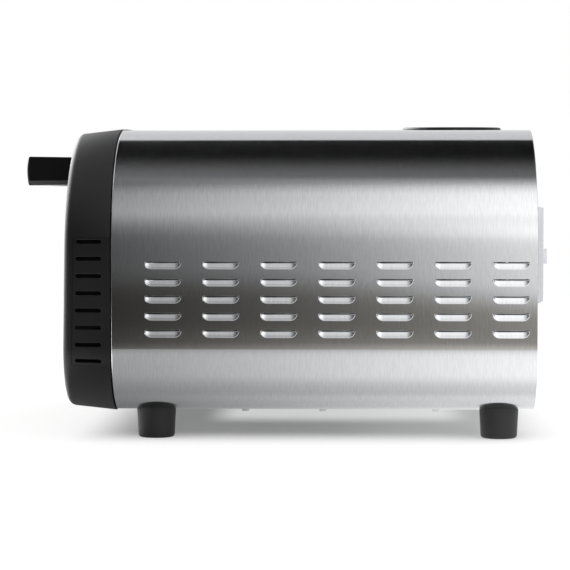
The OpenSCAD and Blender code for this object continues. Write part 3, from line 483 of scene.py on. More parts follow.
def dress(node, finish, angle=30):
    """A merged, smooth-shaded copy of a CAD node in a finish."""
    bm = bmesh.new()
    bm.from_mesh(frame["nodes"][node].data)
    bmesh.ops.remove_doubles(bm, verts=bm.verts, dist=SAME)
    bmesh.ops.dissolve_limit(bm, angle_limit=math.radians(0.5), verts=bm.verts, edges=bm.edges)
    return put(node + "_piece", bm, finish, body_of_node(node), (node,), angle)


class Repeat:
    """A Geometry Nodes tree that sets out copies of one cell; in its names _ stands for a space."""

    def __init__(self, name, **inputs):
        self.tree = bpy.data.node_groups.new(name, "GeometryNodeTree")
        new_socket = self.tree.interface.new_socket
        for label, kind in {"Geometry": "Geometry", "Cell": "Object", **inputs, "Finish": "Material"}.items():
            new_socket(label.replace("_", " "), in_out="INPUT", socket_type="NodeSocket" + kind)
        new_socket("Geometry", in_out="OUTPUT", socket_type="NodeSocketGeometry")
        self.given = self.add("NodeGroupInput").outputs

    def feed(self, socket, value):
        """Links or sets one socket."""
        if isinstance(value, bpy.types.NodeSocket):
            self.tree.links.new(value, socket)
        else:
            socket.default_value = value

    def add(self, kind, **values):
        """A node with the values or links of its sockets."""
        node = self.tree.nodes.new(kind)
        for key, value in values.items():
            self.feed(node.inputs[key.replace("_", " ")], value)
        return node

    def sum(self, operation, a, b):
        """One Math node."""
        node = self.tree.nodes.new("ShaderNodeMath")
        node.operation = operation
        for socket, value in zip(node.inputs, (a, b)):
            self.feed(socket, value)
        return node.outputs[0]

    def copies(self, points, **turn):
        """The cell set on points."""
        cell = self.add("GeometryNodeObjectInfo", Object=self.given["Cell"]).outputs["Geometry"]
        return self.add("GeometryNodeInstanceOnPoints", Points=points, Instance=cell, **turn).outputs[0]

    def end(self, instances):
        """Realizes the copies, joins them to the base mesh, merges the seams and sets the finish."""
        real = self.add("GeometryNodeRealizeInstances", Geometry=instances)
        join = self.add("GeometryNodeJoinGeometry")
        for part in (real.outputs[0], self.given["Geometry"]):
            self.tree.links.new(part, join.inputs[0])
        merge = self.add("GeometryNodeMergeByDistance", Geometry=join.outputs[0], Distance=MERGE)
        paint = self.add("GeometryNodeSetMaterial", Geometry=merge.outputs[0], Material=self.given["Finish"])
        self.add("NodeGroupOutput", Geometry=paint.outputs[0])
        return self

    def grow(self, cell, base=None, **values):
        """The plain mesh that the tree makes from a cell's bmesh, a base mesh and input values."""
        values["Cell"] = linked("cell", mesh_from("cell", cell))
        holder = linked("holder", base or bpy.data.meshes.new("base"))
        modifier = holder.modifiers.new("repeat", "NODES")
        modifier.node_group = self.tree
        for item in self.tree.interface.items_tree:
            key = item.name.replace(" ", "_")
            if item.in_out == "INPUT" and key in values:
                modifier[item.identifier] = values[key]
        holder.update_tag()
        mesh = mesh_of(holder)
        holder.modifiers.clear()
        for done in (holder, values["Cell"]):
            bpy.data.objects.remove(done)
        return mesh


def row_tree():
    """Copies of a cell in a straight row."""
    r = Repeat("Row of cells", Count="Int", Step="Vector", Start="Vector")
    g = r.given
    line = r.add("GeometryNodeMeshLine", Count=g["Count"], Start_Location=g["Start"], Offset=g["Step"])
    return r.end(r.copies(line.outputs[0]))


def field_tree():
    """Copies of a cell in columns and rows on two facing sides."""
    r = Repeat(
        "Louvre field", Columns="Int", Rows="Int", Column_spacing="Float", Row_spacing="Float",
        Side="Float", Along="Float", Up="Float",
    )
    g = r.given
    wide, high = (
        r.sum("MULTIPLY", r.sum("SUBTRACT", g[n + "s"], 1.0), g[n + " spacing"]) for n in ("Column", "Row")
    )
    columns, rows = g["Columns"], g["Rows"]
    grid = r.add("GeometryNodeMeshGrid", Size_X=wide, Size_Y=high, Vertices_X=columns, Vertices_Y=rows)
    copies = r.copies(grid.outputs[0])
    both = r.add("GeometryNodeJoinGeometry")
    for sign in (1, -1):
        place = r.add("ShaderNodeCombineXYZ", X=r.sum("MULTIPLY", g["Side"], sign), Y=g["Along"], Z=g["Up"])
        turned = r.add(
            "GeometryNodeTransform", Geometry=copies, Translation=place.outputs[0],
            Rotation=(math.pi / 2, 0, sign * math.pi / 2),
        )
        r.tree.links.new(turned.outputs[0], both.inputs[0])
    return r.end(both.outputs[0])


def fan_tree():
    """Copies of a mark fanned about the y axis."""
    r = Repeat("Fan of marks", Count="Int", From="Float", Sweep="Float", Middle="Vector")
    g = r.given
    line = r.add("GeometryNodeMeshLine", Count=g["Count"], Start_Location=g["Middle"], Offset=(0.0, 0.0, 0.0))
    index = r.add("GeometryNodeInputIndex").outputs[0]
    share = r.sum("DIVIDE", index, r.sum("SUBTRACT", g["Count"], 1.0))
    around = r.sum("ADD", g["From"], r.sum("MULTIPLY", share, g["Sweep"]))
    turn = r.add("ShaderNodeCombineXYZ", X=0.0, Y=around, Z=0.0)
    return r.end(r.copies(line.outputs[0], Rotation=turn.outputs[0]))


class Value:
    """A shader socket that takes part in sums."""

    def __init__(self, sheet, socket):
        self.sheet, self.socket = sheet, socket

    def _sum(self, operation, a, b):
        return self.sheet.node("ShaderNodeMath", {"operation": operation}, {0: a, 1: b})

    def __add__(self, other):
        return self._sum("ADD", self, other)

    __radd__ = __add__

    def __sub__(self, other):
        return self._sum("SUBTRACT", self, other)

    def __rsub__(self, other):
        return self._sum("SUBTRACT", other, self)

    def __mul__(self, other):
        return self._sum("MULTIPLY", self, other)

    __rmul__ = __mul__

    def __truediv__(self, other):
        return self._sum("DIVIDE", self, other)

    def __pow__(self, other):
        return self._sum("POWER", self, other)

    def most(self, other):
        """The larger of this and another value."""
        return self._sum("MAXIMUM", self, other)

    def least(self, other):
        """The smaller of this and another value."""
        return self._sum("MINIMUM", self, other)

    def over(self, low, high, start=0.0, end=1.0):
        """Smooth step of this value between two levels."""
        levels = {0: self, 1: low, 2: high, 3: start, 4: end}
        return self.sheet.node("ShaderNodeMapRange", {"interpolation_type": "SMOOTHSTEP"}, levels)

    def spread(self):
        """Most of a noise's range drawn out from 0 to 1."""
        return self.over(0.3, 0.7)


class Finish:
    """A node material or world under construction."""

    def __init__(self, owner):
        owner.use_nodes = True
        self.owner, self.tree = owner, owner.node_tree
        self.tree.nodes.clear()

    def node(self, kind, settings=None, sockets=None, out=0):
        """A node with its settings set first, then the values or links of its sockets."""
        n = self.tree.nodes.new(kind)
        for key, value in (settings or {}).items():
            if key == "stops":
                ramp = n.color_ramp
                while len(ramp.elements) < len(value):
                    ramp.elements.new(0.5)
                for element, (at, level) in zip(ramp.elements, value):
                    element.position = at
                    element.color = (level, level, level, 1)
            else:
                setattr(n, key, value)
        for key, value in (sockets or {}).items():
            socket = n.inputs[key]
            if isinstance(value, Value):
                self.tree.links.new(value.socket, socket)
            elif value is not None:
                socket.default_value = value
        return Value(self, n.outputs[out]) if len(n.outputs) else None

    def place(self, scale=(1, 1, 1)):
        """Object coordinates, stretched."""
        where = self.node("ShaderNodeTexCoord", out="Object")
        return self.node("ShaderNodeMapping", None, {"Vector": where, "Scale": scale})

    def noise(self, scale, stretch=(1, 1, 1), detail=3.0, rough=0.5):
        """A noise value on the piece."""
        return self.node(
            "ShaderNodeTexNoise", None,
            {"Vector": self.place(stretch), "Scale": scale, "Detail": detail, "Roughness": rough},
        )

    def blend(self, factor, a, b):
        """A colour between two colours."""
        rgba = [(*c, 1) if isinstance(c, tuple) else c for c in (a, b)]
        return self.node("ShaderNodeMix", {"data_type": "RGBA"}, {0: factor, 6: rgba[0], 7: rgba[1]}, out=2)

    def tones(self, factor, colour, low, high):
        """A colour between a darker and a lighter tone of it."""
        return self.blend(factor, scaled(colour, low), scaled(colour, high))

    def colour(self, red, green, blue):
        """A colour of three levels."""
        return self.node("ShaderNodeCombineColor", None, {0: red, 1: green, 2: blue})

    def axes(self, source):
        """The three parts of a vector."""
        split = self.node("ShaderNodeSeparateXYZ", None, {0: source}).socket.node
        return [Value(self, socket) for socket in split.outputs]

    def ray(self, kind):
        """Whether a ray is of a kind."""
        return self.node("ShaderNodeLightPath", out=kind)

    def bump(self, height, strength, distance):
        """A normal from a height."""
        return self.node(
            "ShaderNodeBump", None, {"Height": height, "Strength": strength, "Distance": distance}
        )

    def surface(self, **sockets):
        """The Principled shader of a material, joined to its output."""
        names = {k.replace("_", " "): v for k, v in sockets.items()}
        for k, v in names.items():
            if isinstance(v, tuple) and len(v) == 3:
                names[k] = (*v, 1)
        shader = self.node("ShaderNodeBsdfPrincipled", None, names)
        self.node("ShaderNodeOutputMaterial", None, {"Surface": shader})
        return self.owner


def scaled(colour, k):
    """A colour made lighter or darker."""
    return tuple(min(1.0, c * k) for c in colour)


def material(build):
    """Makes a building function give its material, which is built once under a name."""

    def once(name=build.__name__, *words, **settings):
        title = "oven_" + name
        found = bpy.data.materials.get(title)
        if found:
            return found
        return build(Finish(bpy.data.materials.new(title)), bpy.context.scene.oven_colours, *words, **settings)

    return once


@material
def brushed_steel(f, c):
    """Stainless sheet with fine brush lines round the girth."""
    fine = f.noise(1.0, (110.0, 2000.0, 110.0), 2.0)
    broad = f.noise(1.0, (120.0, 850.0, 120.0), 2.0)
    lines = fine * 0.7 + broad * 0.3
    cloud = f.noise(7.0, detail=2.0)
    return f.surface(
        Base_Color=f.tones(lines.spread(), c.steel, 0.94, 1.05),
        Metallic=1.0,
        Roughness=0.09 + lines * 0.06 + cloud * 0.02,
        Anisotropic=0.95,
        Normal=f.bump(lines, 0.07, 0.0002),
    )


@material
def moulded(f, c, colour_name, roughness, grain, shine=0.5, up_down_painted_light=1.15):
    """Black moulded plastic with a fine spark grain; its colour is painted lighter where it faces up or down, as
    painted light from above and below, up to its top tone.
    """
    spark = f.noise(1500.0, detail=2.0)
    cloud = f.noise(18.0)
    # Painted light: the square of the normal's height, with a faint random tone, paints faces that point up or
    # down lighter
    painted_light_tilt = f.axes(f.node("ShaderNodeNewGeometry", out="Normal"))[2]
    return f.surface(
        Base_Color=f.tones(cloud * 0.1 + painted_light_tilt * painted_light_tilt, getattr(c, colour_name), 0.9, up_down_painted_light),
        Roughness=roughness + cloud * 0.08 - 0.04 + spark * 0.06,
        Specular_IOR_Level=shine,
        Normal=f.bump(spark, grain, 0.0001),
    )


def black_moulding():
    """Satin black of the bezel, door and controls, painted up to eight times lighter where it faces up or down
    as painted light.
    """
    return moulded("black_moulding", "black", 0.42, 0.35, 0.22, 8.0)


def handle_black():
    """Smoother black of the handle."""
    return moulded("handle_black", "grip", 0.36, 0.2, 0.2)


def black_sheet():
    """Blackened sheet of the hinge pins and brackets."""
    return moulded("black_sheet", "grip", 0.6, 0.15)


def foot_rubber():
    """Dull rubber of the feet."""
    return moulded("foot_rubber", "rubber", 0.55, 0.5)


@material
def zinc_sheet(f, c):
    """Plain sheet with a faint spangle."""
    flake = f.node("ShaderNodeTexVoronoi", None, {"Vector": f.place(), "Scale": 160.0}, out="Color")
    grey = f.node("ShaderNodeRGBToBW", None, {0: flake})
    cloud = f.noise(30.0)
    return f.surface(
        Base_Color=f.tones(grey, c.zinc, 0.9, 1.08),
        Metallic=0.9,
        Roughness=0.34 + grey * 0.08 + cloud * 0.08,
        Normal=f.bump(cloud, 0.08, 0.0004),
    )


@material
def pale_paint(f, c, tone):
    """Pale painted sheet of the back, with a light orange-peel."""
    peel = f.noise(900.0, detail=2.0)
    cloud = f.noise(12.0)
    return f.surface(
        Base_Color=f.tones(cloud.spread(), scaled(c.pale, tone), 0.96, 1.03),
        Roughness=0.42 + cloud * 0.08,
        Normal=f.bump(peel, 0.12, 0.0001),
    )


@material
def mineral_wool(f, c):
    """Pressed fibres of the insulation."""
    fibre = f.noise(1.0, (900.0, 120.0, 900.0), 4.0)
    tuft = f.noise(140.0, detail=4.0)
    return f.surface(
        Base_Color=f.tones(tuft.spread(), c.wool, 0.8, 1.1),
        Roughness=0.9 + fibre * 0.1,
        Normal=f.bump(fibre * 0.5 + tuft, 0.7, 0.001),
    )


@material
def element_steel(f, c):
    """Heat-darkened tube of the elements and the probe."""
    stain = f.noise(45.0, detail=4.0)
    return f.surface(
        Base_Color=f.blend(stain.over(0.35, 0.65), scaled(c.element, 0.8), HEAT_STAIN),
        Metallic=0.85,
        Roughness=0.42 + stain * 0.2,
    )


@material
def baking_stone(f, c):
    """Fired stone with speckles and pores."""
    cloud = f.noise(16.0, detail=5.0)
    speck = f.noise(520.0, detail=2.0)
    pores = speck.over(0.62, 0.72)
    body = f.tones(cloud.spread(), c.stone, 0.86, 1.1)
    return f.surface(
        Base_Color=f.blend(pores * 0.5, body, scaled(c.stone, 0.45)),
        Roughness=0.82 + cloud * 0.12,
        Normal=f.bump(speck - pores, 0.5, 0.0004),
    )


@material
def door_pane(f, c):
    """Clear door glass with a trace of wiping."""
    smear = f.noise(9.0, (1, 1, 3), 4.0)
    return f.surface(
        Base_Color=tuple(c.glass),
        Roughness=0.02 + smear.over(0.5, 0.8) * 0.05,
        Transmission_Weight=1.0,
        IOR=1.48,
    )


@material
def clouded(f, c, colour_name, scale, tones, rough, detail=3.0, drawn_out=False, **constants):
    """A finish whose colour and roughness follow one noise."""
    cloud = f.noise(scale, detail=detail)
    share = cloud.spread() if drawn_out else cloud
    return f.surface(
        Base_Color=f.tones(share, getattr(c, colour_name), *tones),
        Roughness=rough[0] + cloud * rough[1],
        **constants,
    )


def bright_steel():
    """Turned bright steel of screws and shafts."""
    return clouded("bright_steel", "bright", 700.0, (0.9, 1.05), (0.2, 0.1), 2.0, Metallic=1.0)


def ivory_plastic():
    """Ivory plastic of the control bodies."""
    return clouded("ivory_plastic", "ivory", 60.0, (0.94, 1.04), (0.45, 0.1), drawn_out=True)


def porcelain():
    """Glazed bushings."""
    return clouded("porcelain", "china", 90.0, (0.96, 1.03), (0.16, 0.08))


def lens_plastic(colour_name):
    """Coloured lens of an indicator lamp."""
    return clouded(colour_name + "_lens", colour_name, 400.0, (0.8, 1.1), (0.12, 0.06), Coat_Weight=0.5)


def dial_print():
    """Pale ink of the dial marks."""
    return clouded("dial_print", "print_ink", 900.0, (0.85, 1.05), (0.5, 0.1))


def louvre_cell(form):
    """One pressed-in louvre in a flat cell: cut edge above, scoop and bead below; x along, y up, z outward."""
    z = form.sizes
    h, half = z.louvre_h, z.louvre_l / 2
    top, straight = h / 2, half - h
    cx, cy = half + LOUVRE_MARGIN, z.louvre_pitch_z / 2
    bends = [(math.sin(b), math.cos(b)) for b in quarter(LOUVRE_STEPS)[1:]]
    stations = [(-straight - h * s, h * c, -s, -c) for s, c in reversed(bends)]
    stations += [(-straight + 2 * straight * i / 4, h, 0.0, -1.0) for i in range(5)]
    stations += [(straight + h * s, h * c, s, -c) for s, c in bends]
    bm = bmesh.new()
    rows = []
    for k in range(BEAD_STEPS):
        out = z.louvre_bead_w * (1 - k / BEAD_STEPS)
        lift = z.louvre_bead * math.sin(math.pi * k / BEAD_STEPS)
        rows.append(ring(bm, [
            (x + ex * out, top - r + ey * out, lift * math.sqrt(max(0.0, r / h))) for x, r, ex, ey in stations
        ]))
    left_end, right_end = [row[0] for row in rows[:0:-1]], [row[-1] for row in rows[1:]]
    for i in range(LOUVRE_STEPS + 1):
        u = i / LOUVRE_STEPS
        rise = u * (1 - math.sin(z.louvre_mouth))
        drop = z.louvre_d * u**z.louvre_curl
        rows.append(ring(bm, [(x, top - r * (1 - rise), -r * drop) for x, r, _, _ in stations]))
    stack(bm, rows, closed=False)
    left, right = bm.verts.new((-half, top, 0)), bm.verts.new((half, top, 0))
    upper = ring(bm, [(half, top + CUT_EASE, 0), (-half, top + CUT_EASE, 0)])
    edge = ring(bm, [(half, top, -CUT_EASE), (-half, top, -CUT_EASE)])
    bm.faces.new((upper[0], upper[1], edge[1], edge[0]))
    box = ring(bm, [(-cx, -cy, 0), (cx, -cy, 0), (cx, cy, 0), (-cx, cy, 0)])
    fill(bm, box, [left] + left_end + rows[0] + right_end + [right] + upper)
    closed_up(bm, False)
    for face in bm.faces:
        n = face.normal
        edge_on = abs(n.z) <= EDGE_ON and n.y < 0 and face.calc_center_median().y < 0
        if n.z < -EDGE_ON or edge_on:
            face.normal_flip()
    return bm, cx, cy


class OVEN_OT_wrap(bpy.types.Operator):
    """Bends the louvred steel wrap"""

    bl_idname = "oven.wrap"
    bl_label = "Steel wrap"

    def execute(self, context):
        form = OvenForm()
        z = form.sizes
        cell, cx, cy = louvre_cell(form)
        along = [form.seam_y + z.louvre_first + i * z.louvre_pitch_y for i in range(z.louvre_cols)]
        up = [form.base_z + z.louvre_up - z.louvre_h / 2 - i * z.louvre_pitch_z for i in range(z.louvre_rows)]
        rim = z.sheet_t / 2
        ys = [form.seam_y, form.seam_y + rim, form.back_y - rim, form.back_y]
        ys = sorted(ys + [y + d for y in along for d in (-cx, cx)])
        field = sorted({round(u + d, 7) for u in up for d in (-cy, cy)})
        field = [f for i, f in enumerate(field) if i == 0 or f - field[i - 1] > 1e-5]
        vent_low, vent_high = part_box("top_vent")
        vent_half = z.vent_slots * z.vent_pitch / 2 + VENT_MARGIN
        vent_end = z.vent_slot_l / 2 + VENT_MARGIN + z.sheet_t / 2
        vent_y = (vent_low.y + vent_high.y) / 2
        runs = form.runs([form.sill_end + f - form.sill_z for f in field])
        half = [form.at(s) for s in [-z.lip_w] + runs]
        loop = half + [(-x, h, -nx, nz) for x, h, nx, nz in reversed(half[:-1])]
        vent_ys = sorted(vent_y + s * (vent_end + d) for s in (-1, 1) for d in (0, rim))
        bm = bmesh.new()
        grid = [{y: bm.verts.new((x, y, h)) for y in ys + vent_ys} for x, h, _, _ in loop]
        for i in range(len(loop) - 1):
            (x0, h0), (x1, h1) = loop[i][:2], loop[i + 1][:2]
            on_side = abs(abs(x0) - form.half_w) < SAME and abs(abs(x1) - form.half_w) < SAME
            in_rows = on_side and field[0] < (h0 + h1) / 2 < field[-1]
            plain = [on_side and field[0] - SAME < h < field[-1] + SAME for h in (h0, h1)]
            on_crown = h0 > form.shoulder_z and max(abs(x0), abs(x1)) < vent_half
            cuts = sorted(ys + vent_ys) if not any(plain) else ys
            for y0, y1 in zip(cuts, cuts[1:]):
                in_cell = in_rows and any(abs((y0 + y1) / 2 - a) < cx for a in along)
                in_vent = on_crown and abs((y0 + y1) / 2 - vent_y) < vent_end
                if in_cell or in_vent:
                    continue
                edges = [[y0] + [v for v in vent_ys if y0 < v < y1 and not p] + [y1] for p in plain]
                bm.faces.new([grid[i][y] for y in edges[0]] + [grid[i + 1][y] for y in reversed(edges[1])])
        bmesh.ops.delete(bm, geom=[v for v in bm.verts if not v.link_faces], context="VERTS")
        for face in bm.faces:
            middle = face.calc_center_median()
            if face.normal.dot(Vector((middle.x, 0, middle.z - CORE_Z))) < 0:
                face.normal_flip()
        steel = brushed_steel()
        mesh = field_tree().grow(
            cell, mesh_from("wrap_base", bm), Columns=z.louvre_cols, Rows=z.louvre_rows,
            Column_spacing=z.louvre_pitch_y, Row_spacing=z.louvre_pitch_z, Side=form.half_w,
            Along=(along[0] + along[-1]) / 2, Up=(up[0] + up[-1]) / 2, Finish=steel,
        )
        wrap = put("outer_wrap_sheet", mesh, steel, "oven", ("outer_wrap",), 40)
        for face in mesh.polygons:
            if len(face.vertices) == 3 and abs(face.normal.x) > 0.99999:
                face.use_smooth = False
        mesh.use_auto_texspace = False
        mesh.texspace_location = (0.0, (form.seam_y + form.back_y) / 2, (form.base_z + form.crown_z) / 2)
        mesh.texspace_size = (form.half_w, 100.0, form.half_w)
        solid = wrap.modifiers.new("sheet", "SOLIDIFY")
        solid.thickness = z.sheet_t
        solid.offset = -1.0
        return {"FINISHED"}


class OVEN_OT_bezel(bpy.types.Operator):
    """Moulds the front bezel with its cooling slots"""

    bl_idname = "oven.bezel"
    bl_label = "Front bezel"

    def execute(self, context):
        form = OvenForm()
        z = form.sizes
        rear = form.bezel_d - z.seam_gap
        slope = z.bezel_draft / rear
        draft = math.degrees(math.atan(slope))

        def side_n(d):
            return z.bezel_proud - (rear - d) * slope

        edge_n = side_n(z.bezel_edge_r) - z.bezel_edge_r / math.cos(math.radians(draft))
        panel_d0, panel_d1 = 8 * MM, rear - 0.5 * MM
        ease, face, inside = 1.2 * MM, -z.bezel_face, z.bezel_wall - z.bezel_face
        seat, nose, heel_n, heel_d = 2 * MM, 9 * MM, 0.18 * MM, 0.14 * MM
        section = [(-seat, rear), (side_n(rear) - z.slot_sink, rear), (side_n(rear) - heel_n, rear - heel_d)]
        section += [(side_n(d), d) for d in (panel_d1, panel_d0)]
        section += bow(edge_n, z.bezel_edge_r, z.bezel_edge_r, -draft, -90, 9)
        section += bow(face + ease, ease, ease, -90, -180, 4)
        section += [(face, form.bezel_d), (inside, form.bezel_d), (inside, z.bezel_wall)]
        section += [(-nose, z.bezel_wall), (side_n(z.bezel_edge_r) - z.bezel_wall, z.bezel_edge_r)]
        first_panel, last_panel = 1, 4
        slots = [form.run_at_z(form.base_z + z.slot_up) + i * z.slot_pitch for i in range(z.slot_count)]
        reach = 4.1 * MM
        breaks = [s + d for s in slots for d in (-reach, reach)]
        runs = form.runs(breaks)
        half = [(s, form.at(s)) for s in [-form.sill_x] + runs]
        loop = [(s, p, 1) for s, p in half] + [(s, p, -1) for s, p in reversed(half[1:-1])]

        def point(p, side, n, d):
            x, h, nx, nz = p
            n -= z.bezel_sink * nx * nx
            h += nz * n
            lean = max(0.0, h - form.sill_z) * math.tan(z.bezel_lean) * max(0.0, 1 - d / form.bezel_d)
            return Vector((side * (x + nx * n), form.front_y + d + lean, h))

        def in_panel(s0, s1):
            return min(s0, s1) > breaks[0] - SAME and max(s0, s1) < breaks[-1] + SAME

        bm = bmesh.new()
        grid = [ring(bm, [point(p, side, n, d) for n, d in section]) for s, p, side in loop]
        count, wide = len(loop), len(section)
        for i in range(count):
            k = (i + 1) % count
            panel = in_panel(loop[i][0], loop[k][0])
            for j in range(wide):
                m = (j + 1) % wide
                if panel and (first_panel <= j < last_panel or j == wide - 1):
                    continue
                bm.faces.new((grid[i][j], grid[i][m], grid[k][m], grid[k][j]))
            if panel:
                (_, p0, side), (_, p1, _) = loop[i], loop[k]
                sunk, proud = (
                    [[point(p, side, side_n(d) - sink, d) for d in (panel_d0, panel_d1)] for p in (p0, p1)]
                    for sink in (z.slot_sink, 0.0)
                )
                bm.faces.new(ring(bm, (sunk[0][0], sunk[1][0], proud[1][0], proud[0][0])))
                tail = [point(p, side, side_n(rear) - z.slot_sink, rear) for p in (p0, p1)]
                bm.faces.new(ring(bm, (sunk[0][1], sunk[1][1], tail[1], tail[0])))
                s_mid = (loop[i][0] + loop[k][0]) / 2
                if all(abs(s_mid - s) > reach for s in slots):
                    bm.faces.new(ring(bm, (sunk[0][0], sunk[0][1], sunk[1][1], sunk[1][0])))
                for q, s in enumerate((loop[i][0], loop[k][0])):
                    if abs(s - breaks[0]) < SAME or abs(s - breaks[-1]) < SAME:
                        bm.faces.new(ring(bm, (sunk[q][0], sunk[q][1], proud[q][1], proud[q][0])))
        cell = bmesh.new()
        middle = form.bezel_d - z.slot_back - z.slot_l / 2
        hole = slot_loop(z.slot_l, z.slot_h, 8, middle, 0)
        holed_cell(cell, (panel_d0, panel_d1, -reach, reach), hole, z.bezel_wall - z.slot_sink, 0.3 * MM)
        plastic = black_moulding()
        row = row_tree().grow(
            cell, Count=z.slot_count, Step=(0.0, z.slot_pitch, 0.0), Start=(0.0, 0.0, 0.0), Finish=plastic
        )
        for side in (1, -1):
            since = len(bm.verts)
            bm.from_mesh(row)
            move(bm, lambda d, u, w: point(form.at(slots[0] + u), side, side_n(d) - z.slot_sink + w, d), since)
        closed_up(bm)
        put("front_bezel_moulding", bm, plastic, "oven", ("front_bezel",), 32)
        return {"FINISHED"}


class OVEN_OT_vent(bpy.types.Operator):
    """Moulds the slotted top vent"""

    bl_idname = "oven.vent"
    bl_label = "Top vent"

    def execute(self, context):
        form = OvenForm()
        z = form.sizes
        low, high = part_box("top_vent")
        middle_y, wide, deep = (low.y + high.y) / 2, high.x - low.x, high.y - low.y
        thick = high.z - form.crown_z
        reach, side = z.vent_slots * z.vent_pitch / 2, z.vent_slot_l / 2 + VENT_MARGIN
        bm = bmesh.new()
        inner = [(-reach, -side), (reach, -side), (reach, side), (-reach, side)]
        outer = slot_loop(wide, deep - 2 * z.vent_rim, 24)
        edge = z.vent_edge
        levels = [(0, 0.0)]
        levels += [(edge * (1 - math.cos(t)), thick - edge * (1 - math.sin(t))) for t in quarter(6)]
        rows = stack(bm, [ring(bm, [(x, y, w) for x, y in drawn_in(outer, inset)]) for inset, w in levels])
        fill(bm, rows[-1], ring(bm, [(x, y, thick) for x, y in inner]))
        cell = bmesh.new()
        hole = [(y, -x) for x, y in slot_loop(z.vent_slot_l, z.vent_slot_w, 6)]
        holed_cell(cell, (-z.vent_pitch / 2, z.vent_pitch / 2, -side, side), hole, thick, 0.5 * MM)
        plastic = black_moulding()
        row = row_tree().grow(
            cell, Count=z.vent_slots, Step=(z.vent_pitch, 0.0, 0.0),
            Start=(-(z.vent_slots - 1) * z.vent_pitch / 2, 0.0, thick), Finish=plastic,
        )
        bm.from_mesh(row)
        for i in range(-11, 12):
            bmesh.ops.bisect_plane(
                bm, geom=bm.verts[:] + bm.edges[:] + bm.faces[:], dist=1e-7,
                plane_co=(i * z.vent_pitch / 2, 0, 0), plane_no=(1, 0, 0),
            )
        move(bm, lambda x, y, w: Vector((x, middle_y + y, form.crown(x) + w)))
        closed_up(bm)
        put("top_vent_grille", bm, plastic, "oven", ("top_vent",), 40)
        return {"FINISHED"}


class OVEN_OT_feet(bpy.types.Operator):
    """Turns the four rubber feet"""

    bl_idname = "oven.feet"
    bl_label = "Feet"

    def execute(self, context):
        form = OvenForm()
        z = form.sizes
        rubber = foot_rubber()
        for name in ("foot_front_left", "foot_front_right", "foot_rear_left", "foot_rear_right"):
            low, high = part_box(name)
            x, y, top_r = (low.x + high.x) / 2, (low.y + high.y) / 2, (high.y - low.y) / 2 + z.foot_swell
            end_r, e = top_r * FOOT_TAPER, z.foot_edge_r
            flat = end_r - e
            bore_r, bore_z, ease = 4.6 * MM, 12.6 * MM, 0.5 * MM
            profile = [(0, bore_z), (bore_r, bore_z), (bore_r, ease), (bore_r + ease, 0.0), (flat, 0.0)]
            profile += bow(flat, e, e, -90, -4, 6)[1:]
            seat = form.base_z - 0.1 * MM
            profile += [(end_r + (top_r - end_r) * t, e + (seat - e) * t) for t in (0.35, 0.7, 1.0)]
            bm = bmesh.new()
            lathe(bm, profile + [(0, seat)])
            top = seat - 0.1 * MM

            def place(u, v, w):
                return Vector((x + u, y + v, form.underside(x + u) if w > top else w))

            move(bm, place)
            closed_up(bm)
            put(name + "_rubber", bm, rubber, "oven", (name,), 35)
        return {"FINISHED"}


class OVEN_OT_back(bpy.types.Operator):
    """Dresses the rear panel, its cover and the cord gland"""

    bl_idname = "oven.back"
    bl_label = "Back"

    def execute(self, context):
        dress("rear_panel", pale_paint("panel_paint", 0.72))
        for node in ("rear_cover", "cord_gland"):
            dress(node, pale_paint("cover_paint", 1.0))
        return {"FINISHED"}


class OVEN_OT_door(bpy.types.Operator):
    """Makes the door frame, panes, inner pan and hinge parts"""

    bl_idname = "oven.door"
    bl_label = "Door"

    def execute(self, context):
        form = OvenForm()
        z = form.sizes
        low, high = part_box("door_frame")
        outer = form.loop(-z.bezel_face - z.door_gap, low=low.z)
        window = round_rect(z.window_w, z.window_h, z.window_r, 10, 0, low.z + z.window_up + z.window_h / 2)
        pane_low, pane_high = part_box("door_glass")
        bm = bmesh.new()
        rebate, play = pane_low.y - 0.2 * MM, 0.8 * MM
        slab(bm, outer, [window], low.y, rebate, r0=1.6 * MM, r1=0.1 * MM, steps=5)
        move(bm, lambda u, v, w: Vector((u, w, v)))
        closed_up(bm)
        since = len(bm.verts)
        pocket = round_rect(
            pane_high.x - pane_low.x + play, pane_high.z - pane_low.z + play, z.window_r, 8,
            0, (pane_low.z + pane_high.z) / 2,
        )
        slab(bm, outer, [pocket], rebate, high.y, r0=0.05 * MM, r1=0.6 * MM, steps=3)
        move(bm, lambda u, v, w: Vector((u, w, v)), since)
        bmesh.ops.recalc_face_normals(bm, faces=bm.faces)
        put("door_frame_moulding", bm, black_moulding(), "door", ("door_frame",), 32)
        for node in ("door_glass", "inner_glass"):
            dress(node, door_pane())
        dress("door_pan", zinc_sheet())
        for side in ("left", "right"):
            dress("hinge_pin_" + side, black_sheet())
            dress("hinge_bracket_" + side, black_sheet())
        dress("handle_screws", bright_steel())
        return {"FINISHED"}


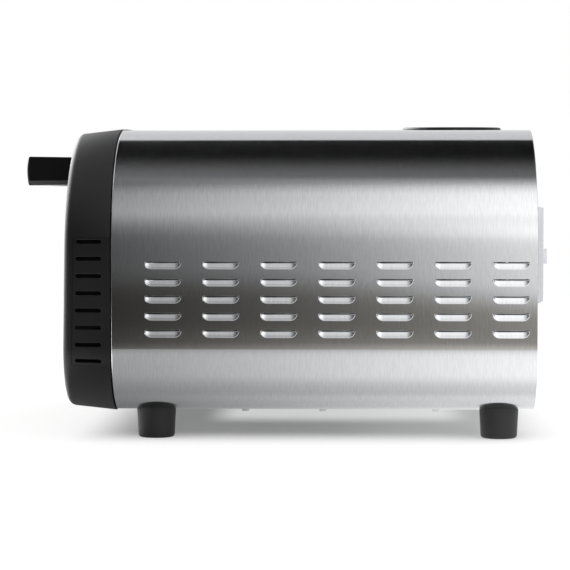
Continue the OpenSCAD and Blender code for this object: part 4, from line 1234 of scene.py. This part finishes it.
class OVEN_OT_handle(bpy.types.Operator):
    """Moulds the bridge handle"""

    bl_idname = "oven.handle"
    bl_label = "Handle"

    def execute(self, context):
        form = OvenForm()
        z = form.sizes
        low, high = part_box("door_handle")
        half, depth, tall = high.x, high.y - low.y, (high.z - low.z) / 2
        middle, arm, c = (low.z + high.z) / 2, high.x - z.handle_arm, z.handle_corner_r
        inner_r = 4 * MM
        right = bow(half - c, c, c, -90, 0, 10) + [(half, c + (depth - c) * t) for t in (0.25, 0.5, 0.75, 1.0)]
        right += [(arm, depth - (depth - z.handle_t - inner_r) * t) for t in (0.0, 0.4, 0.75)]
        right += bow(arm - inner_r, z.handle_t + inner_r, inner_r, 0, -90, 6)
        right.append((arm * 0.5, z.handle_t))
        right = [(0.0, 0.0), (half * 0.3, 0.0), (half * 0.6, 0.0)] + right + [(0.0, z.handle_t)]
        plan = tidy_loop(right + [(-x, t) for x, t in reversed(right[1:-1])])
        r = z.handle_edge_r
        levels = [-tall + r * (1 - math.cos(t)) for t in quarter(5)]
        upper = [-v for v in reversed(levels)]
        levels += [-tall + z.handle_slant] + [i / 4 * (tall - r) for i in range(-2, 4)] + upper
        bm = bmesh.new()
        rows = []
        normals = drawn_in(plan, 1.0)
        for level in levels:
            past = max(0.0, abs(level) - (tall - r))
            inset = r - math.sqrt(max(0.0, r * r - past * past))
            bulge = z.handle_bow - math.sqrt(z.handle_bow**2 - level**2)
            line = []
            for (x, t), (ix, it) in zip(plan, normals):
                nx, nt = ix - x, it - t
                on_door = t > depth - SAME
                px = x + nx * max(inset, z.handle_slant - tall - level if abs(x) > arm + SAME else 0.0)
                pt = t if on_door else t + nt * inset + max(0.0, nt) * bulge * (1 if t < c + SAME else 0)
                thin = 1 - z.handle_taper / tall * min(1.0, max(0.0, t / depth))
                line.append((px, low.y + pt, middle + level * thin))
            rows.append(ring(bm, line))
        stack(bm, rows)
        fill(bm, rows[0])
        fill(bm, rows[-1])
        closed_up(bm)
        put("door_handle_grip", bm, handle_black(), "door", ("door_handle",), 38)
        return {"FINISHED"}


class OVEN_OT_controls(bpy.types.Operator):
    """Makes the fascia, knobs, lamps, dial marks and the control bodies"""

    bl_idname = "oven.controls"
    bl_label = "Controls"

    def execute(self, context):
        form = OvenForm()
        z = form.sizes
        low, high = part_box("control_fascia")
        bm = bmesh.new()
        outline = form.loop(-z.bezel_face - FASCIA_GAP, high=high.z)
        slab(bm, outline, [], low.y, high.y, r0=0.8 * MM, r1=0.4 * MM, steps=3)
        move(bm, lambda u, v, w: Vector((u, w, v)))
        closed_up(bm)
        plastic, ink = black_moulding(), dial_print()
        put("control_fascia_plate", bm, plastic, "oven", ("control_fascia",), 32)
        for knob, body in (("heat", "heat_dial"), ("selector", "selector_dial"), ("timer", "timer_dial")):
            self.knob(knob, body, z, plastic, ink)
            dress(knob + "_shaft", bright_steel())
        self.marks(low.y, ink)
        for name, lens in (("power_lamp", "red"), ("heat_lamp", "amber")):
            self.lamp(name, low.y, lens_plastic(lens))
        for node in ("thermostat", "selector_switch", "timer_unit"):
            dress(node, ivory_plastic())
        return {"FINISHED"}

    def knob(self, name, body, z, plastic, ink):
        """A knob with a skirt, a round body and a grip bar with a pale pointer."""
        low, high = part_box(name + "_knob")
        x, up, r, deep = (low.x + high.x) / 2, (low.z + high.z) / 2, (high.x - low.x) / 2, high.y - low.y
        skirt, root, tip, face = deep / 4, r * 0.86, r * 0.8, deep * 0.4
        e, foot, fillet, draw = 0.8 * MM, 0.4 * MM, 0.5 * MM, 0.3 * MM
        profile = [(0, 0.0), (r - foot, 0.0), (r, foot)] + bow(r - e, skirt - e, e, 0, 90, 4)
        profile += [(root + fillet, skirt), (root, skirt + fillet)]
        profile += bow(root - draw - e, face - e, e, 0, 90, 4) + [(0, face)]
        bm = bmesh.new()
        lathe(bm, profile, 72)
        grip = z.knob_grip / 2
        end = math.degrees(math.asin(grip / tip))
        bar = bow(0, 0, tip, 90 - end, 90 + end, 6)
        bar = tidy_loop(bar + [(-a, -b) for a, b in bar])
        slab(bm, bar, [], face - e, deep, r0=0.1 * MM, r1=1.6 * MM, steps=5)
        move(bm, lambda u, v, w: Vector((x + u, high.y - w, up + v)))
        closed_up(bm)
        put(name + "_knob_grip", bm, plastic, body, (name + "_knob",), 34)
        mark = bmesh.new()
        line = round_rect(POINTER_W, tip * 0.62, POINTER_W / 2, 5, 0, tip * 0.55)
        slab(mark, line, [], 0.0, POINTER_T, r0=0.02 * MM, r1=0.05 * MM, steps=2)
        move(mark, lambda u, v, w: Vector((x + u, low.y + POINTER_T / 2 - w, up + v)))
        closed_up(mark)
        put(name + "_knob_pointer", mark, ink, body)

    def lamp(self, name, face, finish):
        """A domed lens with a collar behind the fascia."""
        low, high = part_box(name)
        x, up, collar = (low.x + high.x) / 2, (low.z + high.z) / 2, (high.x - low.x) / 2
        flange, plate, step = 0.6 * MM, 4 * MM, 0.01 * MM
        r, rise = collar - flange, face - low.y
        back = high.y - face
        bm = bmesh.new()
        dome = [(r * math.sin(t), rise * math.cos(t)) for t in quarter(8)]
        lathe(bm, dome + [(r, -plate), (collar, -plate - step), (collar, -back), (0, -back)], 40)
        move(bm, lambda u, v, w: Vector((x + u, face - w, up + v)))
        closed_up(bm)
        put(name + "_lens", bm, finish, "oven", (name,), 35)

    def marks(self, face, ink):
        """Ticks and plain numbers round the knobs."""
        tree = fan_tree()
        for name, count, sweep, numbers in (
            ("heat", 11, 270, ("0", "100", "150", "200", "250", "300")),
            ("selector", 4, 180, ("0", "1", "2", "3")),
            ("timer", 13, 300, ("0", "5", "10", "15", "20", "25", "30")),
        ):
            low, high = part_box(name + "_knob")
            x, up, r = (low.x + high.x) / 2, (low.z + high.z) / 2, (high.x - low.x) / 2
            tick = bmesh.new()
            line = round_rect(TICK_W, TICK_L, 0.3 * MM, 3, 0, r + TICK_OUT)
            slab(tick, line, [], 0.0, PRINT_T, r0=0.02 * MM, r1=0.03 * MM, steps=1)
            move(tick, lambda u, v, w: Vector((u, PRINT_T / 2 - w, v)))
            closed_up(tick)
            mesh = tree.grow(
                tick, Count=count, From=0.0, Sweep=math.radians(sweep), Middle=(x, face, up), Finish=ink
            )
            put(name + "_ticks", mesh, ink, "oven")
            out = r + NUMBER_OUT
            for i, number in enumerate(numbers):
                a = math.radians(sweep) * i / (len(numbers) - 1)
                self.number(name, i, number, x + out * math.sin(a), up + out * math.cos(a), face, ink)

    def number(self, name, i, text, x, up, face, ink):
        """One printed number on the fascia."""
        curve = bpy.data.curves.new("number", "FONT")
        curve.body = text
        curve.align_x = curve.align_y = "CENTER"
        curve.size, curve.extrude, curve.resolution_u = NUMBER_H, PRINT_T / 2, 3
        holder = linked("number", curve)
        mesh = mesh_of(holder)
        bpy.data.objects.remove(holder)
        bm = bmesh.new()
        bm.from_mesh(mesh)
        move(bm, lambda u, v, w: Vector((x + u, face - w - PRINT_PROUD, up + v)))
        closed_up(bm, False)
        put("%s_number_%d" % (name, i), bm, ink, "oven")


class OVEN_OT_inside(bpy.types.Operator):
    """Dresses the chamber, elements, stone, insulation and fixings"""

    bl_idname = "oven.inside"
    bl_label = "Inside"

    def execute(self, context):
        groups = (
            (zinc_sheet, (
                "base_pan", "front_chassis", "chamber_floor", "chamber_ceiling", "chamber_left", "chamber_right",
                "chamber_back_wall", "vent_duct", "stone_ring", "upper_clips", "lower_clips",
            )),
            (mineral_wool, ("insulation_top", "insulation_left", "insulation_right")),
            (element_steel, ("upper_element", "lower_element", "thermostat_probe")),
            (porcelain, ("element_bushings",)),
            (baking_stone, ("pizza_stone",)),
            (ivory_plastic, ("thermal_cutout", "terminal_block")),
            (bright_steel, ("foot_screws", "base_screws", "rear_cover_screws")),
        )
        for finish, nodes in groups:
            for node in nodes:
                dress(node, finish())
        return {"FINISHED"}


def stage_plane(name, corners, finish):
    """A flat piece of the studio."""
    mesh = bpy.data.meshes.new(name)
    mesh.from_pydata(corners, [], [tuple(range(len(corners)))])
    mesh.materials.append(finish)
    obj = linked(name, mesh)
    return obj


def studio_world(level):
    """White to the eye and even soft light; in gloss, a white wall behind, a dark room and a dark ceiling."""
    world = bpy.data.worlds.new("studio")
    bpy.context.scene.world = world
    f = Finish(world)
    x, y, z = f.axes(f.node("ShaderNodeTexCoord", out="Generated"))
    wall = x.over(0.55, -0.15) * y.over(0.2, 0.9, 0.78, 1.2) + 0.05
    window = x.over(0.08, -0.25) * y.over(-0.15, -0.55) * z.over(0.0, 0.35, 0.35, 1.0) * z.over(0.85, 0.55)
    low = z.over(0.765, 0.735)
    ceiling = x.over(-0.4, 0.3) ** 2.0 * 0.19 + 0.008
    gloss = (wall + window * 10.0) * low + ceiling * (1 - low)
    mirrored = f.node("ShaderNodeBackground", None, {"Color": f.colour(gloss, gloss, gloss), "Strength": 1.0})
    plain = f.node("ShaderNodeBackground", None, {"Color": (1, 1, 1, 1), "Strength": level})
    mixed = f.node("ShaderNodeMixShader", None, {0: f.ray("Is Glossy Ray"), 1: plain, 2: mirrored})
    f.node("ShaderNodeOutputWorld", None, {"Surface": mixed})
    world.cycles.sampling_method = "NONE"


SOFTBOX_X, SOFTBOX_LEFT, SOFTBOX_RIGHT, SOFTBOX_TOP = 0.925, -0.7, 1.3, 2.7
SOFTBOX_BANDS = (
    (0.0, 0.45), (0.06, 0.12), (0.1, 0.12), (0.125, 0.35), (0.3, 0.42), (0.7, 0.95), (1.2, 0.88), (1.8, 0.45),
    (SOFTBOX_TOP, 0.2),
)
SOFTBOX_STOPS = [(height / SOFTBOX_TOP, level) for height, level in SOFTBOX_BANDS]


def softbox_glow(level):
    """Emission of the softbox: brighter to the back of the oven, fading at its edges."""
    f = Finish(bpy.data.materials.new("softbox_glow"))
    _, y, z = f.axes(f.node("ShaderNodeTexCoord", out="Object"))
    side = (1 + y * y.over(-0.05, 0.05, 2.0, 2.9)).least(1.9).most(0.3)
    height = z + (y * 0.085).most(0.0)
    column = f.node("ShaderNodeValToRGB", {"stops": SOFTBOX_STOPS}, {0: height / SOFTBOX_TOP})
    glow = column * side ** (z.over(0.3, 0.65, 2.0, 1.0) * z.over(2.6, 1.5, 0.1, 1.0)) * level
    warm = height.over(0.112, 0.104)
    colour = f.colour(glow, glow * (1 - warm * 0.05), glow * (1 - warm * 0.14))
    light = f.node("ShaderNodeEmission", None, {"Color": colour, "Strength": 1.0})
    f.node("ShaderNodeOutputMaterial", None, {"Surface": light})
    return f.owner


def floor_white(paint):
    """Pale floor that meets the white background; to the eye its glow gives way in a painted shadow patch under
    the oven, so the oven's shadow shows there, and in gloss it shows painted light and shade.
    """
    f = Finish(bpy.data.materials.new("floor_white"))
    shiny = f.ray("Is Glossy Ray")
    x, y, _ = f.axes(f.node("ShaderNodeTexCoord", out="Object"))
    # Painted shadow: a box under the oven, full on the near side and by the feet and weaker on the far side,
    # where the glow is cut so the lit floor's shade shows
    painted_shade_across = x.over(-0.04, 0.06, 0.35, 1.0)
    ends = y.over(-0.05, -0.09) + y.over(0.14, 0.18)
    shade = x.over(0.23, 0.11) * x.over(-0.30, -0.16) * y.over(-0.20, -0.12) * y.over(0.26, 0.18)
    under = shade * (painted_shade_across + ends * (1 - painted_shade_across))
    seen = f.ray("Is Camera Ray") * (0.62 - under * 0.52) + shiny * 0.6
    # Painted reflection: in gloss the floor is painted brighter to the back and in a patch in front of the oven,
    # fading towards the camera, with painted shade under the oven and in a strip along its side
    sweep = y.over(-0.3, 0.4, 0.1, 2.4) + y.over(-0.21, -0.27, 0.0, 6.0) * x.over(0.6, 0.4)
    sweep = sweep * x.over(1.5, 0.2) * x.over(0.16, 0.27, 0.75, 1.0)
    sweep = sweep * (1 - x.over(0.19, 0.212) * x.over(0.27, 0.22) * 0.28)
    level = shiny * sweep + (1 - shiny) * 1.2
    dull = f.node("ShaderNodeBsdfDiffuse", None, {"Color": (*paint, 1)})
    glow = f.node("ShaderNodeEmission", None, {"Color": f.colour(level, level, level), "Strength": 1.0})
    mixed = f.node("ShaderNodeMixShader", None, {0: seen, 1: dull, 2: glow})
    f.node("ShaderNodeOutputMaterial", None, {"Surface": mixed})
    return f.owner


class OVEN_OT_stage(bpy.types.Operator):
    """Sets the floor, studio light and camera"""

    bl_idname = "oven.stage"
    bl_label = "Studio"

    def execute(self, context):
        scene = context.scene
        studio = scene.oven_studio
        scene.view_settings.view_transform = "Standard"
        form = OvenForm()
        corners = ((-2.5, -2.0), (1.25, -2.0), (1.25, 2.0), (-2.5, 2.0))
        stage_plane("floor", [(x, y, FLOOR_Z) for x, y in corners], floor_white(tuple(studio.floor)))
        left, right, top = SOFTBOX_LEFT, SOFTBOX_RIGHT, SOFTBOX_TOP
        corners = ((left, 0.0), (right, 0.0), (right, top), (left, top))
        box = stage_plane("softbox", [(SOFTBOX_X, y, h) for y, h in corners], softbox_glow(studio.box))
        box.visible_camera = box.visible_diffuse = box.visible_transmission = box.visible_shadow = False
        studio_world(studio.dome)
        data = bpy.data.cameras.new("camera")
        data.lens, data.sensor_width, data.clip_start = studio.lens, 36.0, 0.05
        camera = linked("camera", data)
        camera.location = (form.half_w + CAMERA_AWAY, form.seam_y + CAMERA_ALONG, CAMERA_UP)
        camera.rotation_euler = Vector(CAMERA_AIM).to_track_quat("-Z", "Y").to_euler()
        scene.camera = camera
        return {"FINISHED"}


PIECES = (
    OVEN_OT_wrap, OVEN_OT_bezel, OVEN_OT_vent, OVEN_OT_feet, OVEN_OT_back, OVEN_OT_door, OVEN_OT_handle,
    OVEN_OT_controls, OVEN_OT_inside, OVEN_OT_stage,
)


class OVEN_PT_panel(bpy.types.Panel):
    """Lists the oven's pieces"""

    bl_idname = "OVEN_PT_panel"
    bl_label = "Pizza oven"
    bl_space_type = "VIEW_3D"
    bl_region_type = "UI"
    bl_category = "Oven"

    def draw(self, context):
        for piece in PIECES:
            self.layout.operator(piece.bl_idname)
        for group in (context.scene.oven_sizes, context.scene.oven_colours, context.scene.oven_studio):
            box = self.layout.box()
            for key in group.__annotations__:
                box.prop(group, key)


CLASSES = (OvenSizes, OvenColours, StudioSettings) + PIECES + (OVEN_PT_panel,)


def register():
    """Registers the classes and hangs the settings on the scene."""
    for cls in CLASSES:
        bpy.utils.register_class(cls)
    bpy.types.Scene.oven_sizes = bpy.props.PointerProperty(type=OvenSizes)
    bpy.types.Scene.oven_colours = bpy.props.PointerProperty(type=OvenColours)
    bpy.types.Scene.oven_studio = bpy.props.PointerProperty(type=StudioSettings)


def unregister():
    """Takes the settings and classes away again."""
    del bpy.types.Scene.oven_sizes, bpy.types.Scene.oven_colours, bpy.types.Scene.oven_studio
    for cls in reversed(CLASSES):
        bpy.utils.unregister_class(cls)


def main():
    register()
    for piece in PIECES:
        group, name = piece.bl_idname.split(".")
        getattr(getattr(bpy.ops, group), name)()


if __name__ == "__main__":
    main()
